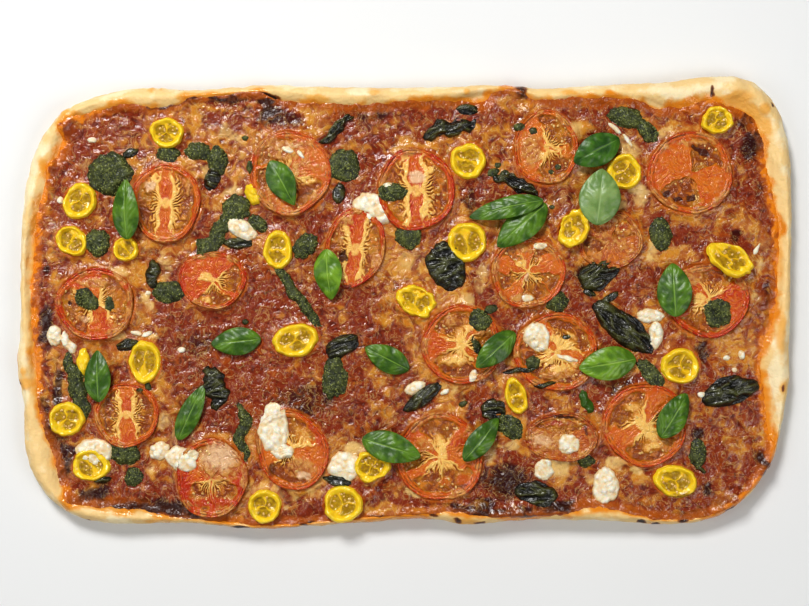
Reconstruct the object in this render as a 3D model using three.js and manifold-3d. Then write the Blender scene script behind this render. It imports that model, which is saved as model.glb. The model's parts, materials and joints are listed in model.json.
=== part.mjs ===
// A margherita pizza baked in a rectangular tray, in millimetres, +Z up, lying flat on its underside.
// The origin is on the underside, in the middle of the pizza; +X runs along its long side.
// Dough first, then the layer of sauce and melted cheese, then tomato slices, yellow tomatoes and basil.

import * as THREE from "three";
import { mergeVertices } from "three/addons/utils/BufferGeometryUtils.js";
import Module from "manifold-3d";

const wasm = await Module();
wasm.setup();

// Driving sizes.
const PIZZA_LENGTH = 462;
const FLOOR_HEIGHT = 8;
const RIM_HEIGHT = 16.5;
const THIN_RIM_HEIGHT = 13;
const FULL_RIM_WIDTH = 9;
const BED_HEIGHT = 11.5;
const CHEESE_FILM = 1.1;
const SLICE_HEIGHT = 4.2;
const YELLOW_HEIGHT = 5.2;
const LEAF_THICKNESS = 0.8;
const PIECE_GAP = 0.3;
const LEAF_GAP = 0.75;

// A place on the pizza is read off the photograph, taken from straight above, and turned into millimetres.
const PHOTO_CENTRE = [403.6, 302.1];
const PHOTO_LENGTH = 777.7;
const EYE_HEIGHT = 900;
const EDGE_LEVEL = 7;
const TOPPING_LEVEL = 13;
const MM_PER_PIXEL = PIZZA_LENGTH / PHOTO_LENGTH;

// How finely round shapes are divided.
const STATIONS = 92;
const SLICE_SIDES = 18;
const YELLOW_SIDES = 12;
const LUMP_SIDES = 6;
const LARGE_LUMP = { radius: 9, sides: 8 };
const CLEARANCE_SIDES = 16;

const UP = new THREE.Vector3(0, 0, 1);
const ABOVE_ALL = 60;

// The crust's edge, counter-clockwise: place in the photograph, and the bare rim's width there in mm.
const EDGE = [
  [24, 194, 9], [20.5, 250, 3.5], [20, 290, 3.5], [20, 335, 7], [15, 362, 9.5], [17, 385, 10],
  [26, 396, 6], [22, 430, 13], [31, 474, 13], [57, 508, 8], [87, 521, 8], [114, 525, 9],
  [150, 525, 6.5], [190, 524, 3.5], [254, 530, 2], [337, 525, 1.5], [400, 521, 4.5],
  [434, 519, 4.5], [467, 527, 11], [514, 521, 6], [608, 522, 9], [646, 524, 4], [677, 526, 2.5],
  [707, 522, 3.5], [750, 496.5, 3.5], [777, 451, 2], [785, 408, 5], [790, 390, 8], [790, 362, 14],
  [791, 317, 8], [791, 250, 3.5], [792.5, 197, 7], [790, 150, 13], [783, 116, 12.5],
  [757, 81, 16], [735, 75, 17], [710, 75, 14], [677, 80, 14], [590, 85, 7.5], [531, 88, 6.5],
  [510, 84, 1.5], [447, 86, 7.5], [400, 87, 8.5], [324, 86, 9], [265, 84, 6], [210, 89, 4],
  [174, 89, 9], [145, 86, 12], [102, 93.5, 9], [63, 110, 6], [44, 132, 9], [32, 154, 14],
];

// Folded dough makes the rim thicker at one corner, and the whole rim is a little lumpy.
const CORNER_FOLD = { photo: [735, 92], reach: 24, rise: 2.5 };
const RIM_LUMPS = [{ height: 0.5, count: 9, phase: 0 }, { height: 0.35, count: 23, phase: 1 }];

// The rim's cross-section: mm in from the edge, plus a share of the bare rim's width; and its heights.
const FOOT = { inset: 5, toe: 1.2, height: 2 };
const BELLY_LEVEL = 0.45;
const SHOULDER = { inset: 1, share: 0.16, level: 0.84 };
const CREST = { inset: 2, share: 0.5 };
const SAUCE_LINE = { inset: 2.5, level: 0.55 };
const FLOOR_INSET = 8;
const NARROWEST_RIM = 1.5;

// The melted layer: how far in from the sauce line its slope runs out, how deep its edge reaches, and its
// inner rings, each at a share of the way to the middle and with fewer points than the edge.
const SHORE_REACH = 9;
const SLOPE = { reach: 4, film: 1.45 };
const SKIRT_DEPTH = 2.5;
const BED_RINGS = [
  { share: 0, every: 1 },
  { share: 0.14, every: 2 },
  { share: 0.38, every: 4 },
  { share: 0.68, every: 4 },
];

// Slow rise and fall of the melted layer: height, and reach along x and y, in mm.
const BED_WAVES = [
  { height: 0.22, along: [31, 23], phase: 1.3 },
  { height: 0.22, along: [31, -23], phase: 1.3 },
  { height: 0.3, along: [17, 17], phase: 0 },
  { height: 0.2, along: [11, -7], phase: 0 },
];

// Red tomato slices: centre in the photograph, half sizes and turn; what lies on a slice is part of it.
const RED_SLICES = [
  { photo: [166, 203], radii: [20.5, 23.5] },
  { photo: [290, 173], radii: [24, 25] },
  { photo: [416, 190], radii: [22.8, 24.5], on: [{ photo: [392, 193], radii: [8.5, 5.3], rise: 2.2 }] },
  { photo: [546, 148], radii: [19, 22] },
  { photo: [690, 173], radii: [25.2, 24.4] },
  { photo: [96, 304], radii: [23, 21.5], on: [{ photo: [87, 299], radii: [8, 5.5], turn: -35, rise: 2.4 }] },
  { photo: [213, 280], radii: [20, 17] },
  { photo: [355, 248], radii: [17.5, 24], turn: -12 },
  { photo: [528, 272], radii: [22, 21.5] },
  { photo: [610, 240], radii: [19, 17.5] },
  {
    photo: [462, 345], radii: [23.5, 23.5],
    on: [{ photo: [480, 320], radii: [7, 6.5], rise: 2.2 }],
  },
  { photo: [556, 352], radii: [25, 23], on: [{ photo: [537, 337], radii: [7, 9], turn: 30, rise: 2.6 }] },
  { photo: [708, 300], radii: [24.5, 22], on: [{ photo: [717, 313], radii: [7.5, 9.5], rise: 2.4 }] },
  { photo: [127, 415], radii: [19, 19] },
  { photo: [212, 478], radii: [21, 23.5] },
  {
    photo: [292, 450], radii: [20.5, 24.5], turn: 28,
    on: [{ photo: [275, 432], radii: [8, 10.5], rise: 3 }, { photo: [283, 451], radii: [6.5, 4.5], rise: 2.4 }],
  },
  { photo: [440, 457], radii: [25.5, 26] },
  { photo: [562, 437], radii: [21.5, 14.5], on: [{ photo: [568, 444], radii: [6, 6], rise: 2.2 }] },
  { photo: [645, 425], radii: [25, 24.5] },
];

// Slices of small yellow tomatoes.
const YELLOW_SLICES = [
  { photo: [167, 133], radii: [10, 9] },
  { photo: [80, 201], radii: [9.5, 11], turn: -30 },
  { photo: [72, 241], radii: [10, 8.5], turn: -35 },
  { photo: [126, 249], radii: [7.5, 7.5] },
  { photo: [278, 250], radii: [8.5, 11.5] },
  { photo: [416, 301], radii: [12, 9], turn: -25 },
  { photo: [468, 161], radii: [10.5, 10.5] },
  { photo: [467, 242], radii: [11.5, 11.5] },
  { photo: [574, 229], radii: [9, 11.5], turn: -25 },
  { photo: [624, 172], radii: [10.3, 10.5] },
  { photo: [716.5, 120.5], radii: [9.4, 8.2], turn: 15 },
  { photo: [728, 260], radii: [14.5, 9], turn: -30 },
  { photo: [296, 340], radii: [13.5, 9.8], turn: 12 },
  { photo: [145, 362], radii: [9.5, 12.8] },
  { photo: [67, 419], radii: [10.5, 10] },
  { photo: [91, 465], radii: [11, 9.5] },
  { photo: [516, 396], radii: [6.5, 11], turn: 15 },
  { photo: [680, 366], radii: [11.5, 10.5] },
  { photo: [675, 481], radii: [13, 9.5], turn: -15 },
  { photo: [265, 506], radii: [10, 10] },
  { photo: [343, 504], radii: [11.5, 11] },
  { photo: [372, 466], radii: [10.5, 9], turn: 20 },
];

// Fresh basil leaves: stalk and tip in the photograph, and width. A later leaf lies on an earlier one.
const BASIL_LEAVES = [
  { stalk: [129, 240], tip: [127, 180], width: 16.5 },
  { stalk: [295, 206], tip: [271, 161], width: 16.5 },
  { stalk: [327, 249], tip: [331, 300], width: 17 },
  { stalk: [261, 339], tip: [211, 344], width: 16.5 },
  { stalk: [409, 370], tip: [365, 347], width: 15.5 },
  { stalk: [100, 402], tip: [98, 350], width: 15.5 },
  { stalk: [178, 440], tip: [204, 385], width: 13 },
  { stalk: [362, 438], tip: [421, 456], width: 18 },
  { stalk: [463, 460], tip: [499, 418], width: 14 },
  { stalk: [515, 332], tip: [475, 367], width: 15.5 },
  { stalk: [546, 204], tip: [497, 247], width: 19 },
  { stalk: [543, 201], tip: [469, 217], width: 13.5 },
  { stalk: [619, 139], tip: [573, 163], width: 19 },
  { stalk: [595, 226], tip: [602, 169], width: 24.5 },
  { stalk: [675, 317], tip: [672, 263], width: 20.5 },
  { stalk: [636, 359], tip: [578, 368], width: 20 },
  { stalk: [659, 437], tip: [686, 393], width: 16.5 },
];

// Dollops and streaks of pesto baked onto the cheese.
const PESTO = [
  { photo: [111, 174], radii: [13, 11.5], rise: 5 },
  { photo: [168, 154], radii: [6.3, 4.7], rise: 2.4 },
  { photo: [97, 243], radii: [7, 8.3], rise: 3.4 },
  { photo: [198, 151], radii: [8, 5], rise: 3 },
  { photo: [217, 160], radii: [6, 8.5], rise: 3.4 },
  { photo: [344, 166], radii: [9.3, 9.8], rise: 3.6 },
  { photo: [236, 208], radii: [8, 7.5], rise: 3.4 },
  { photo: [212, 243], radii: [23, 4.8], turn: 61, rise: 3.2 },
  { photo: [257, 223], radii: [6.5, 4.2], turn: -45, rise: 2.6 },
  { photo: [305, 246], radii: [8.8, 5.8], turn: 45, rise: 2.8 },
  { photo: [298, 297], radii: [22.5, 3.4], turn: -54, rise: 2.6 },
  { photo: [168, 292], radii: [9.3, 6.3], rise: 3.2 },
  { photo: [408, 234], radii: [8, 8.4], rise: 3.2 },
  { photo: [334, 379], radii: [7.3, 12], rise: 3.4 },
  { photo: [76, 386], radii: [20.5, 5.2], turn: -77, rise: 3.2 },
  { photo: [125, 453], radii: [8.5, 7], rise: 3.2 },
  { photo: [133, 477], radii: [5.5, 5.5], rise: 2.6 },
  { photo: [243, 430], radii: [3.8, 16], rise: 2.6 },
  { photo: [625, 117], radii: [9.5, 6.3], turn: -12, rise: 3.2 },
  { photo: [647, 131], radii: [8.5, 5], turn: -50, rise: 3 },
  { photo: [661, 234], radii: [6, 10], turn: 12, rise: 2.8 },
  { photo: [557, 302], radii: [6.5, 6], rise: 2.6 },
  { photo: [651, 374], radii: [10.5, 5], turn: -50, rise: 2.6 },
  { photo: [586, 461], radii: [5, 3.7], rise: 2.2 },
  { photo: [698, 454], radii: [5, 8], rise: 2.6 },
  { photo: [510, 427], radii: [8.5, 6], turn: -40, rise: 2.8 },
];

// Lumps of soft white cheese.
const CHEESE_LUMPS = [
  { photo: [369, 206], radii: [9, 8.5], turn: -30, rise: 4 },
  { photo: [241, 229], radii: [9.5, 5.5], turn: -30, rise: 3.6 },
  { photo: [94, 452], radii: [10.5, 7.5], rise: 4.5 },
  { photo: [159, 451], radii: [6.3, 5], turn: 25, rise: 3 },
  { photo: [178, 456], radii: [8.5, 6], turn: -15, rise: 3.6 },
  { photo: [650, 316], radii: [7.5, 4.2], rise: 3 },
  { photo: [656, 334], radii: [4.2, 7.8], rise: 3 },
  { photo: [345, 466], radii: [9, 8.5], rise: 3 },
  { photo: [606, 486], radii: [7.5, 11], rise: 3.6 },
  { photo: [544, 470], radii: [5.6, 6], rise: 2.4 },
  { photo: [54, 336], radii: [4.2, 6], rise: 3 },
  { photo: [67, 343], radii: [3, 7], turn: 12, rise: 3 },
  { photo: [415, 388], radii: [6.5, 3.5], turn: 25, rise: 2.2 },
];

// Basil leaves that went into the oven and lie dark and shrunken on the cheese, and one fresh scrap.
const WILTED_LEAVES = [
  { photo: [446, 266], radii: [10, 16], turn: 18, rise: 3.6 },
  { photo: [449, 129], radii: [13.5, 5.8], turn: 12, rise: 3 },
  { photo: [468, 109], radii: [5.6, 3.5], rise: 2.2 },
  { photo: [624, 328], radii: [19, 9.5], turn: -40, rise: 3.6 },
  { photo: [730, 391], radii: [14.5, 9], turn: 15, rise: 3.8 },
  { photo: [537, 494], radii: [11, 7.5], turn: -12, rise: 3.2 },
  { photo: [342, 346], radii: [9.5, 6.5], turn: 25, rise: 3 },
  { photo: [214, 388], radii: [6, 14.5], turn: 12, rise: 3 },
  { photo: [152, 274], radii: [3.6, 10], rise: 2.6 },
  { photo: [423, 397], radii: [11, 5], turn: 38, rise: 2.8 },
  { photo: [336, 129], radii: [11, 3.6], turn: 45, rise: 2.8 },
  { photo: [493, 410], radii: [6.5, 7], rise: 2.6 },
  { photo: [598, 274], radii: [11, 9.5], turn: 35, rise: 3.6 },
  { photo: [237, 243], radii: [7.5, 3.6], rise: 2.2 },
  { photo: [127, 345], radii: [6, 3.6], turn: 15, rise: 2.2 },
  { photo: [212, 178], radii: [4, 8], turn: -15, rise: 2.6 },
  { photo: [516, 184], radii: [13, 4.2], turn: -20, rise: 3 },
  { photo: [338, 481], radii: [7.5, 3.6], turn: -10, rise: 2.4 },
  { photo: [586, 402], radii: [2.8, 8], turn: 20, rise: 2.2 },
];

// Profiles of the round pieces, as shares of the radii and of the height, from under the base to the middle.
const SLICE_PROFILE = [[0.96, 0], [1, 0.55], [0.93, 1], [0.8, 0.74], [0.42, 0.66]];
const SLICE_CORE = 0.82;
const SLICE_FLESH = 0.66;
const YELLOW_PROFILE = [[0.86, 0], [1, 0.5], [0.88, 1], [0.66, 0.7]];
const YELLOW_HEART = 0.64;
const LUMP_FOOT_SHARE = 1.05;
const LUMP_SHOULDER = { share: 0.78, level: 0.8 };
const LUMP_DEPTH = { onSlice: 1, onBed: 1.5 };
const SLICE_UNEVENNESS = 0.025;
const LUMP_UNEVENNESS = 0.075;

// Basil leaf: shares of its length and half width at which it is divided, and its bends.
const LEAF_ROWS = [0.1, 0.32, 0.56, 0.8];
const LEAF_COLUMNS = [-1, -0.5, 0, 0.5, 1];
const LEAF_OUTLINE = { skew: 0.86, fullness: 0.8 };
const LEAF_ARCH = 0.16;
const LEAF_BOW = 0.05;
const LEAF_WAVE = { height: 0.035, count: 7 };

// Looks of each kind of piece.
const DOUGH_LOOK = { color: 0xe6c98d, roughness: 0.82, metalness: 0 };
const BED_LOOK = { color: 0xb0562a, roughness: 0.4, metalness: 0 };
const RED_LOOK = { color: 0xd4481f, roughness: 0.35, metalness: 0 };
const YELLOW_LOOK = { color: 0xe9b913, roughness: 0.32, metalness: 0 };
const BASIL_LOOK = { color: 0x3f8a2a, roughness: 0.42, metalness: 0 };

// A place in the photograph, in mm on the pizza at the height z.
function fromPhoto([px, py], z = TOPPING_LEVEL) {
  const scale = (MM_PER_PIXEL * (EYE_HEIGHT - z)) / (EYE_HEIGHT - EDGE_LEVEL);
  return new THREE.Vector2((px - PHOTO_CENTRE[0]) * scale, (PHOTO_CENTRE[1] - py) * scale);
}

// Eased step from 0 to 1.
function ease(t) {
  return THREE.MathUtils.smoothstep(t, 0, 1);
}

function bedHeight(x, y) {
  return BED_WAVES.reduce(
    (z, { height, along, phase }) => z + height * Math.sin(x / along[0] + y / along[1] + phase),
    BED_HEIGHT,
  );
}

// A closed body from rings of points, listed from under its base, up its side and over its top.
// Each ring runs counter-clockwise seen from above and has as many points as the one before it, or a whole
// fraction of them. A fan of triangles closes either end.
function ringBody(rings, lowPoint, highPoint) {
  const points = [...rings.flat(), lowPoint, highPoint];
  const low = points.length - 2;
  const high = points.length - 1;
  const index = [];
  rings[0].forEach((_, i, { length }) => index.push(low, (i + 1) % length, i));
  let start = 0;
  for (let k = 1; k < rings.length; k++) {
    const [count, nextCount] = [rings[k - 1].length, rings[k].length];
    const step = count / nextCount;
    const next = start + count;
    for (let i = 0; i < nextCount; i++) {
      const j = (i + 1) % nextCount;
      for (let m = i * step; m < (i + 1) * step; m++) {
        index.push(start + m, start + ((m + 1) % count), next + i);
      }
      index.push(next + i, start + ((j * step) % count), next + j);
    }
    start = next;
  }
  rings.at(-1).forEach((_, i, { length }) => index.push(high, start + i, start + ((i + 1) % length)));
  return new THREE.BufferGeometry().setFromPoints(points).setIndex(index);
}

// Joining and cutting.
function solidOf(geometry) {
  const merged = mergeVertices(geometry, 1e-4);
  const vertProperties = merged.attributes.position.array;
  return new wasm.Manifold(
    new wasm.Mesh({ numProp: 3, vertProperties, triVerts: new Uint32Array(merged.index.array) }),
  );
}

function geometryOf(solid) {
  const mesh = solid.getMesh();
  return new THREE.BufferGeometry()
    .setAttribute("position", new THREE.BufferAttribute(new Float32Array(mesh.vertProperties), 3))
    .setIndex(new THREE.BufferAttribute(new Uint32Array(mesh.triVerts), 1));
}

function largestBody(solid) {
  return solid.decompose().reduce((best, body) => (body.volume() > best.volume() ? body : best));
}

function meshOf(name, geometry, look) {
  const mesh = new THREE.Mesh(geometry, new THREE.MeshStandardMaterial(look));
  mesh.name = name;
  mesh.updateMatrixWorld(true);
  return mesh;
}

// Crust: stations along the edge carry the place, the way inwards, and the rim's width and height.
function rimHeight(width, place, share) {
  const full = THREE.MathUtils.lerp(THIN_RIM_HEIGHT, RIM_HEIGHT, ease(width / FULL_RIM_WIDTH));
  const fold = place.distanceTo(fromPhoto(CORNER_FOLD.photo)) / CORNER_FOLD.reach;
  const start = full + CORNER_FOLD.rise * Math.exp(-fold * fold);
  const turn = 2 * Math.PI * share;
  return RIM_LUMPS.reduce(
    (top, { height, count, phase }) => top + height * Math.sin(count * turn + phase),
    start,
  );
}

function edgeStations() {
  const outline = EDGE.map(([px, py, width]) => {
    const place = fromPhoto([px, py], EDGE_LEVEL);
    return new THREE.Vector3(place.x, place.y, width);
  });
  const curve = new THREE.CatmullRomCurve3(outline, true, "centripetal");
  const points = curve.getSpacedPoints(STATIONS).slice(0, STATIONS);
  const around = (i) => points[(i + STATIONS) % STATIONS];
  return points.map((point, i) => {
    const along = new THREE.Vector2();
    for (let reach = 1; reach <= 3; reach++) {
      along.x += around(i + reach).x - around(i - reach).x;
      along.y += around(i + reach).y - around(i - reach).y;
    }
    along.normalize();
    const place = new THREE.Vector2(point.x, point.y);
    const width = Math.max(point.z, NARROWEST_RIM);
    const inward = new THREE.Vector2(-along.y, along.x);
    return { place, inward, width, height: rimHeight(width, place, i / STATIONS) };
  });
}

// Cross-section of the rim at a station: how far in from the edge, and how high.
function rimSection({ width, height }) {
  return [
    [FOOT.inset, 0],
    [FOOT.toe, FOOT.height],
    [0, BELLY_LEVEL * height],
    [SHOULDER.inset + SHOULDER.share * width, SHOULDER.level * height],
    [CREST.inset + CREST.share * width, height],
    [SAUCE_LINE.inset + width, THREE.MathUtils.lerp(FLOOR_HEIGHT, height, SAUCE_LINE.level)],
    [FLOOR_INSET + width, FLOOR_HEIGHT],
  ];
}

function rimTopAt(station, inset) {
  const top = rimSection(station).slice(2);
  const next = top.findIndex(([reach]) => reach >= inset);
  if (next < 0) return FLOOR_HEIGHT;
  if (next === 0) return top[0][1];
  const [[fromReach, fromHeight], [toReach, toHeight]] = [top[next - 1], top[next]];
  return THREE.MathUtils.mapLinear(inset, fromReach, toReach, fromHeight, toHeight);
}

function stationPoint({ place, inward }, inset, z) {
  return new THREE.Vector3(place.x + inward.x * inset, place.y + inward.y * inset, z);
}

function crustGeometry(stations) {
  const sections = stations.map(rimSection);
  const rings = sections[0].map((_, k) =>
    stations.map((station, i) => stationPoint(station, sections[i][k][0], sections[i][k][1])),
  );
  return ringBody(rings, new THREE.Vector3(), new THREE.Vector3(0, 0, FLOOR_HEIGHT));
}

// Melted layer: from the sauce line on the rim, down its inner slope and over the whole floor.
function bedBlank(stations) {
  const ringAt = (reach, heightOf) => stations.map((station) => {
    const inset = station.width + reach;
    return stationPoint(station, inset, heightOf(station, inset));
  });
  const skirt = ringAt(0, (station, inset) => rimTopAt(station, inset) - SKIRT_DEPTH);
  const toe = ringAt(SHORE_REACH, () => FLOOR_HEIGHT - 1);
  const line = ringAt(0, (station, inset) => rimTopAt(station, inset) + CHEESE_FILM);
  const slope = ringAt(SLOPE.reach, (station, inset) => rimTopAt(station, inset) + SLOPE.film);
  const shore = ringAt(SHORE_REACH, () => 0);
  const inner = BED_RINGS.map(({ share, every }) =>
    shore.filter((_, i) => i % every === 0).map(({ x, y }) => {
      const place = [x * (1 - share), y * (1 - share)];
      return new THREE.Vector3(...place, bedHeight(...place));
    }),
  );
  const middle = new THREE.Vector3(0, 0, bedHeight(0, 0));
  return ringBody([toe, skirt, line, slope, ...inner], new THREE.Vector3(0, 0, FLOOR_HEIGHT - 1), middle);
}

// A ring of an oval piece, a little uneven, at a share of its radii and at the height z.
function ovalRing(radii, count, share, z, seed, unevenness = SLICE_UNEVENNESS) {
  return Array.from({ length: count }, (_, i) => {
    const angle = (2 * Math.PI * i) / count;
    const wobble = Math.sin(3 * angle + seed) + 0.6 * Math.sin(5 * angle + 2.3 * seed);
    const reach = share * (1 + unevenness * wobble);
    return new THREE.Vector3(radii[0] * reach * Math.cos(angle), radii[1] * reach * Math.sin(angle), z);
  });
}

// Round piece with a flat base: rings of a profile, closed by a point in the middle.
function profileBody({ radii, turn = 0 }, profile, sides, height, middleLevel, seed) {
  const rings = profile.map(([share, level]) => ovalRing(radii, sides, share, level * height, seed));
  const middle = new THREE.Vector3(0, 0, middleLevel * height);
  return ringBody(rings, new THREE.Vector3(), middle).rotateZ(THREE.MathUtils.degToRad(turn));
}

// Dollop, lump or shrunken leaf: a low dome whose foot sinks into what carries it.
function dome({ radii, turn = 0, rise }, seed, depth) {
  const sides = Math.max(...radii) > LARGE_LUMP.radius ? LARGE_LUMP.sides : LUMP_SIDES;
  const rings = [
    ovalRing(radii, sides, LUMP_FOOT_SHARE, -depth, seed, LUMP_UNEVENNESS),
    ovalRing(radii, sides, LUMP_SHOULDER.share, LUMP_SHOULDER.level * rise, seed + 1, LUMP_UNEVENNESS),
  ];
  const low = new THREE.Vector3(0, 0, -depth);
  return ringBody(rings, low, new THREE.Vector3(0, 0, rise)).rotateZ(THREE.MathUtils.degToRad(turn));
}

// Red slice: shrunken skin stands up as a ring round the flesh, and the core is a little raised.
function redSliceGeometry(entry, seed) {
  const round = profileBody(entry, SLICE_PROFILE, SLICE_SIDES, SLICE_HEIGHT, SLICE_CORE, seed);
  const centre = fromPhoto(entry.photo);
  const slice = (entry.on ?? []).reduce((carrier, topping, i) => {
    const { x, y } = fromPhoto(topping.photo).sub(centre);
    const lump = dome(topping, seed + i, LUMP_DEPTH.onSlice).translate(x, y, SLICE_FLESH * SLICE_HEIGHT);
    return carrier.add(solidOf(lump));
  }, solidOf(round));
  return geometryOf(slice);
}

// Yellow slice: a thick raised wall round a sunken heart.
function yellowSliceGeometry(entry, seed) {
  return profileBody(entry, YELLOW_PROFILE, YELLOW_SIDES, YELLOW_HEIGHT, YELLOW_HEART, seed);
}

// Basil leaf: a thin wavy sheet, arched across its midrib and bowed along it.
function leafPoint(along, across, { length, width }, seed) {
  const half = 0.5 * width * Math.sin(Math.PI * along ** LEAF_OUTLINE.skew) ** LEAF_OUTLINE.fullness;
  const arch = LEAF_ARCH * half * (1 - across * across);
  const bow = LEAF_BOW * length * Math.sin(Math.PI * along);
  const wave = LEAF_WAVE.height * width * Math.sin(LEAF_WAVE.count * along + seed) * across;
  return new THREE.Vector3((along - 0.5) * length, across * half, arch + bow + wave);
}

function leafGeometry(leaf, seed) {
  const face = [
    leafPoint(0, 0, leaf, seed),
    ...LEAF_ROWS.flatMap((along) => LEAF_COLUMNS.map((across) => leafPoint(along, across, leaf, seed))),
    leafPoint(1, 0, leaf, seed),
  ];
  const columns = LEAF_COLUMNS.length;
  const last = face.length - 1;
  const at = (row, column) => 1 + row * columns + column;
  const end = LEAF_ROWS.length - 1;
  const upper = [];
  for (let c = 0; c < columns - 1; c++) {
    upper.push([0, at(0, c), at(0, c + 1)], [last, at(end, c + 1), at(end, c)]);
    for (let r = 0; r < end; r++) {
      upper.push([at(r, c), at(r + 1, c), at(r + 1, c + 1)], [at(r, c), at(r + 1, c + 1), at(r, c + 1)]);
    }
  }
  const nearSide = LEAF_ROWS.map((_, r) => at(r, 0));
  const farSide = LEAF_ROWS.map((_, r) => at(end - r, columns - 1));
  const rim = [0, ...nearSide, last, ...farSide];
  const index = [];
  const under = face.length;
  for (const [a, b, c] of upper) index.push(a, b, c, under + a, under + c, under + b);
  rim.forEach((a, i) => {
    const b = rim[(i + 1) % rim.length];
    index.push(a, under + a, under + b, a, under + b, b);
  });
  const lower = face.map((point) => point.clone().setZ(point.z - LEAF_THICKNESS));
  return new THREE.BufferGeometry().setFromPoints([...face, ...lower]).setIndex(index);
}

// Height of the highest support under a place.
const probe = new THREE.Raycaster();

function supportAt(x, y, supports) {
  probe.set(new THREE.Vector3(x, y, ABOVE_ALL), UP.clone().negate());
  const hit = probe.intersectObjects(supports, false)[0];
  return hit ? hit.point.z : 0;
}

// Best plane through points given as offsets and heights: z = rise + slopeX x + slopeY y.
function planeThrough(points) {
  const sums = new THREE.Matrix3().set(0, 0, 0, 0, 0, 0, 0, 0, 0);
  const right = new THREE.Vector3();
  for (const { x, y, z } of points) {
    [1, x, y, x, x * x, x * y, y, x * y, y * y].forEach((term, i) => (sums.elements[i] += term));
    right.add(new THREE.Vector3(z, x * z, y * z));
  }
  return right.applyMatrix3(sums.invert());
}

// Lays a piece on its supports: tilted with them, and lowered until its underside almost touches.
const STEEPEST = 0.3;

function settle(mesh, centre, under, supports, gap) {
  const ground = under.map(({ x, y }) => ({ x, y, z: supportAt(centre.x + x, centre.y + y, supports) }));
  const { y: slopeX, z: slopeY } = planeThrough(ground);
  const slope = Math.hypot(slopeX, slopeY);
  const limit = slope > STEEPEST ? STEEPEST / slope : 1;
  const normal = new THREE.Vector3(-slopeX * limit, -slopeY * limit, 1).normalize();
  mesh.quaternion.setFromUnitVectors(UP, normal);
  mesh.position.set(centre.x, centre.y, 0);
  const turned = under.map((point) => point.clone().applyQuaternion(mesh.quaternion));
  const lift = turned.map(({ x, y, z }) => supportAt(centre.x + x, centre.y + y, supports) - z);
  mesh.position.z = Math.max(...lift) + gap;
  mesh.updateMatrixWorld(true);
  return mesh;
}

// Places under an oval piece, on its flat base.
function ovalUnderside({ radii, turn = 0 }) {
  const angle = THREE.MathUtils.degToRad(turn);
  const rings = [0.3, 0.6, 0.85, 0.99].flatMap((share) => ovalRing(radii, SLICE_SIDES, share, 0, 0, 0));
  return [new THREE.Vector3(), ...rings].map((point) => point.applyAxisAngle(UP, angle));
}

// Places under a leaf: its corners and the middles of its edges and faces.
function leafUnderside(geometry) {
  const position = geometry.getAttribute("position");
  const corner = (i) => new THREE.Vector3().fromBufferAttribute(position, i);
  const under = [];
  for (let i = 0; i < geometry.index.count; i += 3) {
    const [a, b, c] = [0, 1, 2].map((k) => corner(geometry.index.getX(i + k)));
    under.push(a, a.clone().lerp(b, 0.5), b.clone().lerp(c, 0.5), a.clone().add(b).add(c).divideScalar(3));
  }
  return under;
}

function numbered(prefix, i) {
  return `${prefix}_${String(i + 1).padStart(2, "0")}`;
}

function placeSlice(mesh, entry, supports) {
  return settle(mesh, fromPhoto(entry.photo), ovalUnderside(entry), supports, PIECE_GAP);
}

function placeLeaf(entry, i, supports) {
  const stalk = fromPhoto(entry.stalk);
  const tip = fromPhoto(entry.tip);
  const heading = tip.clone().sub(stalk);
  const leaf = { length: heading.length(), width: entry.width };
  const geometry = leafGeometry(leaf, i).rotateZ(heading.angle());
  const mesh = meshOf(numbered("basil_leaf", i), geometry, BASIL_LOOK);
  return settle(mesh, stalk.add(tip).multiplyScalar(0.5), leafUnderside(geometry), supports, LEAF_GAP);
}

// Upright oval prism that keeps baked-on toppings clear of a slice.
function clearance({ photo, radii, turn = 0 }, seed) {
  const centre = fromPhoto(photo);
  const wider = radii.map((radius) => radius * (1 + SLICE_UNEVENNESS) + 2 * PIECE_GAP);
  const rings = [0, ABOVE_ALL].map((z) => ovalRing(wider, CLEARANCE_SIDES, 1, z, seed));
  const prism = ringBody(rings, new THREE.Vector3(), new THREE.Vector3(0, 0, ABOVE_ALL));
  return solidOf(prism.rotateZ(THREE.MathUtils.degToRad(turn)).translate(centre.x, centre.y, 0));
}

function bakedOn(toppings, base, bareBed, keepClear) {
  return toppings.reduce((bed, topping, i) => {
    const { x, y } = fromPhoto(topping.photo);
    const lump = dome(topping, i, LUMP_DEPTH.onBed).translate(x, y, supportAt(x, y, [bareBed]));
    return bed.add(keepClear.reduce((left, solid) => left.subtract(solid), solidOf(lump)));
  }, base);
}

// Assembly, from the dough up.
const stations = edgeStations();
const crust = meshOf("crust", crustGeometry(stations), DOUGH_LOOK);
const raisedCrust = solidOf(crust.geometry).translate([0, 0, PIECE_GAP]);
const base = largestBody(solidOf(bedBlank(stations)).subtract(raisedCrust));
const bareBed = meshOf("bare_bed", geometryOf(base), BED_LOOK);
const ground = [crust, bareBed];

const redSlices = RED_SLICES.map((entry, i) => {
  const mesh = meshOf(numbered("tomato_slice", i), redSliceGeometry(entry, i), RED_LOOK);
  return placeSlice(mesh, entry, ground);
});
const yellowSlices = YELLOW_SLICES.map((entry, i) => {
  const mesh = meshOf(numbered("yellow_tomato", i), yellowSliceGeometry(entry, i), YELLOW_LOOK);
  return placeSlice(mesh, entry, [...ground, ...redSlices]);
});

const keepClear = [raisedCrust, ...[...RED_SLICES, ...YELLOW_SLICES].map(clearance)];
const toppings = [...PESTO, ...CHEESE_LUMPS, ...WILTED_LEAVES];
const dressed = largestBody(bakedOn(toppings, base, bareBed, keepClear));
const bed = meshOf("melted_bed", geometryOf(dressed), BED_LOOK);

const basilLeaves = [];
BASIL_LEAVES.forEach((entry, i) => {
  basilLeaves.push(placeLeaf(entry, i, [crust, bed, ...redSlices, ...yellowSlices, ...basilLeaves]));
});

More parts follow.
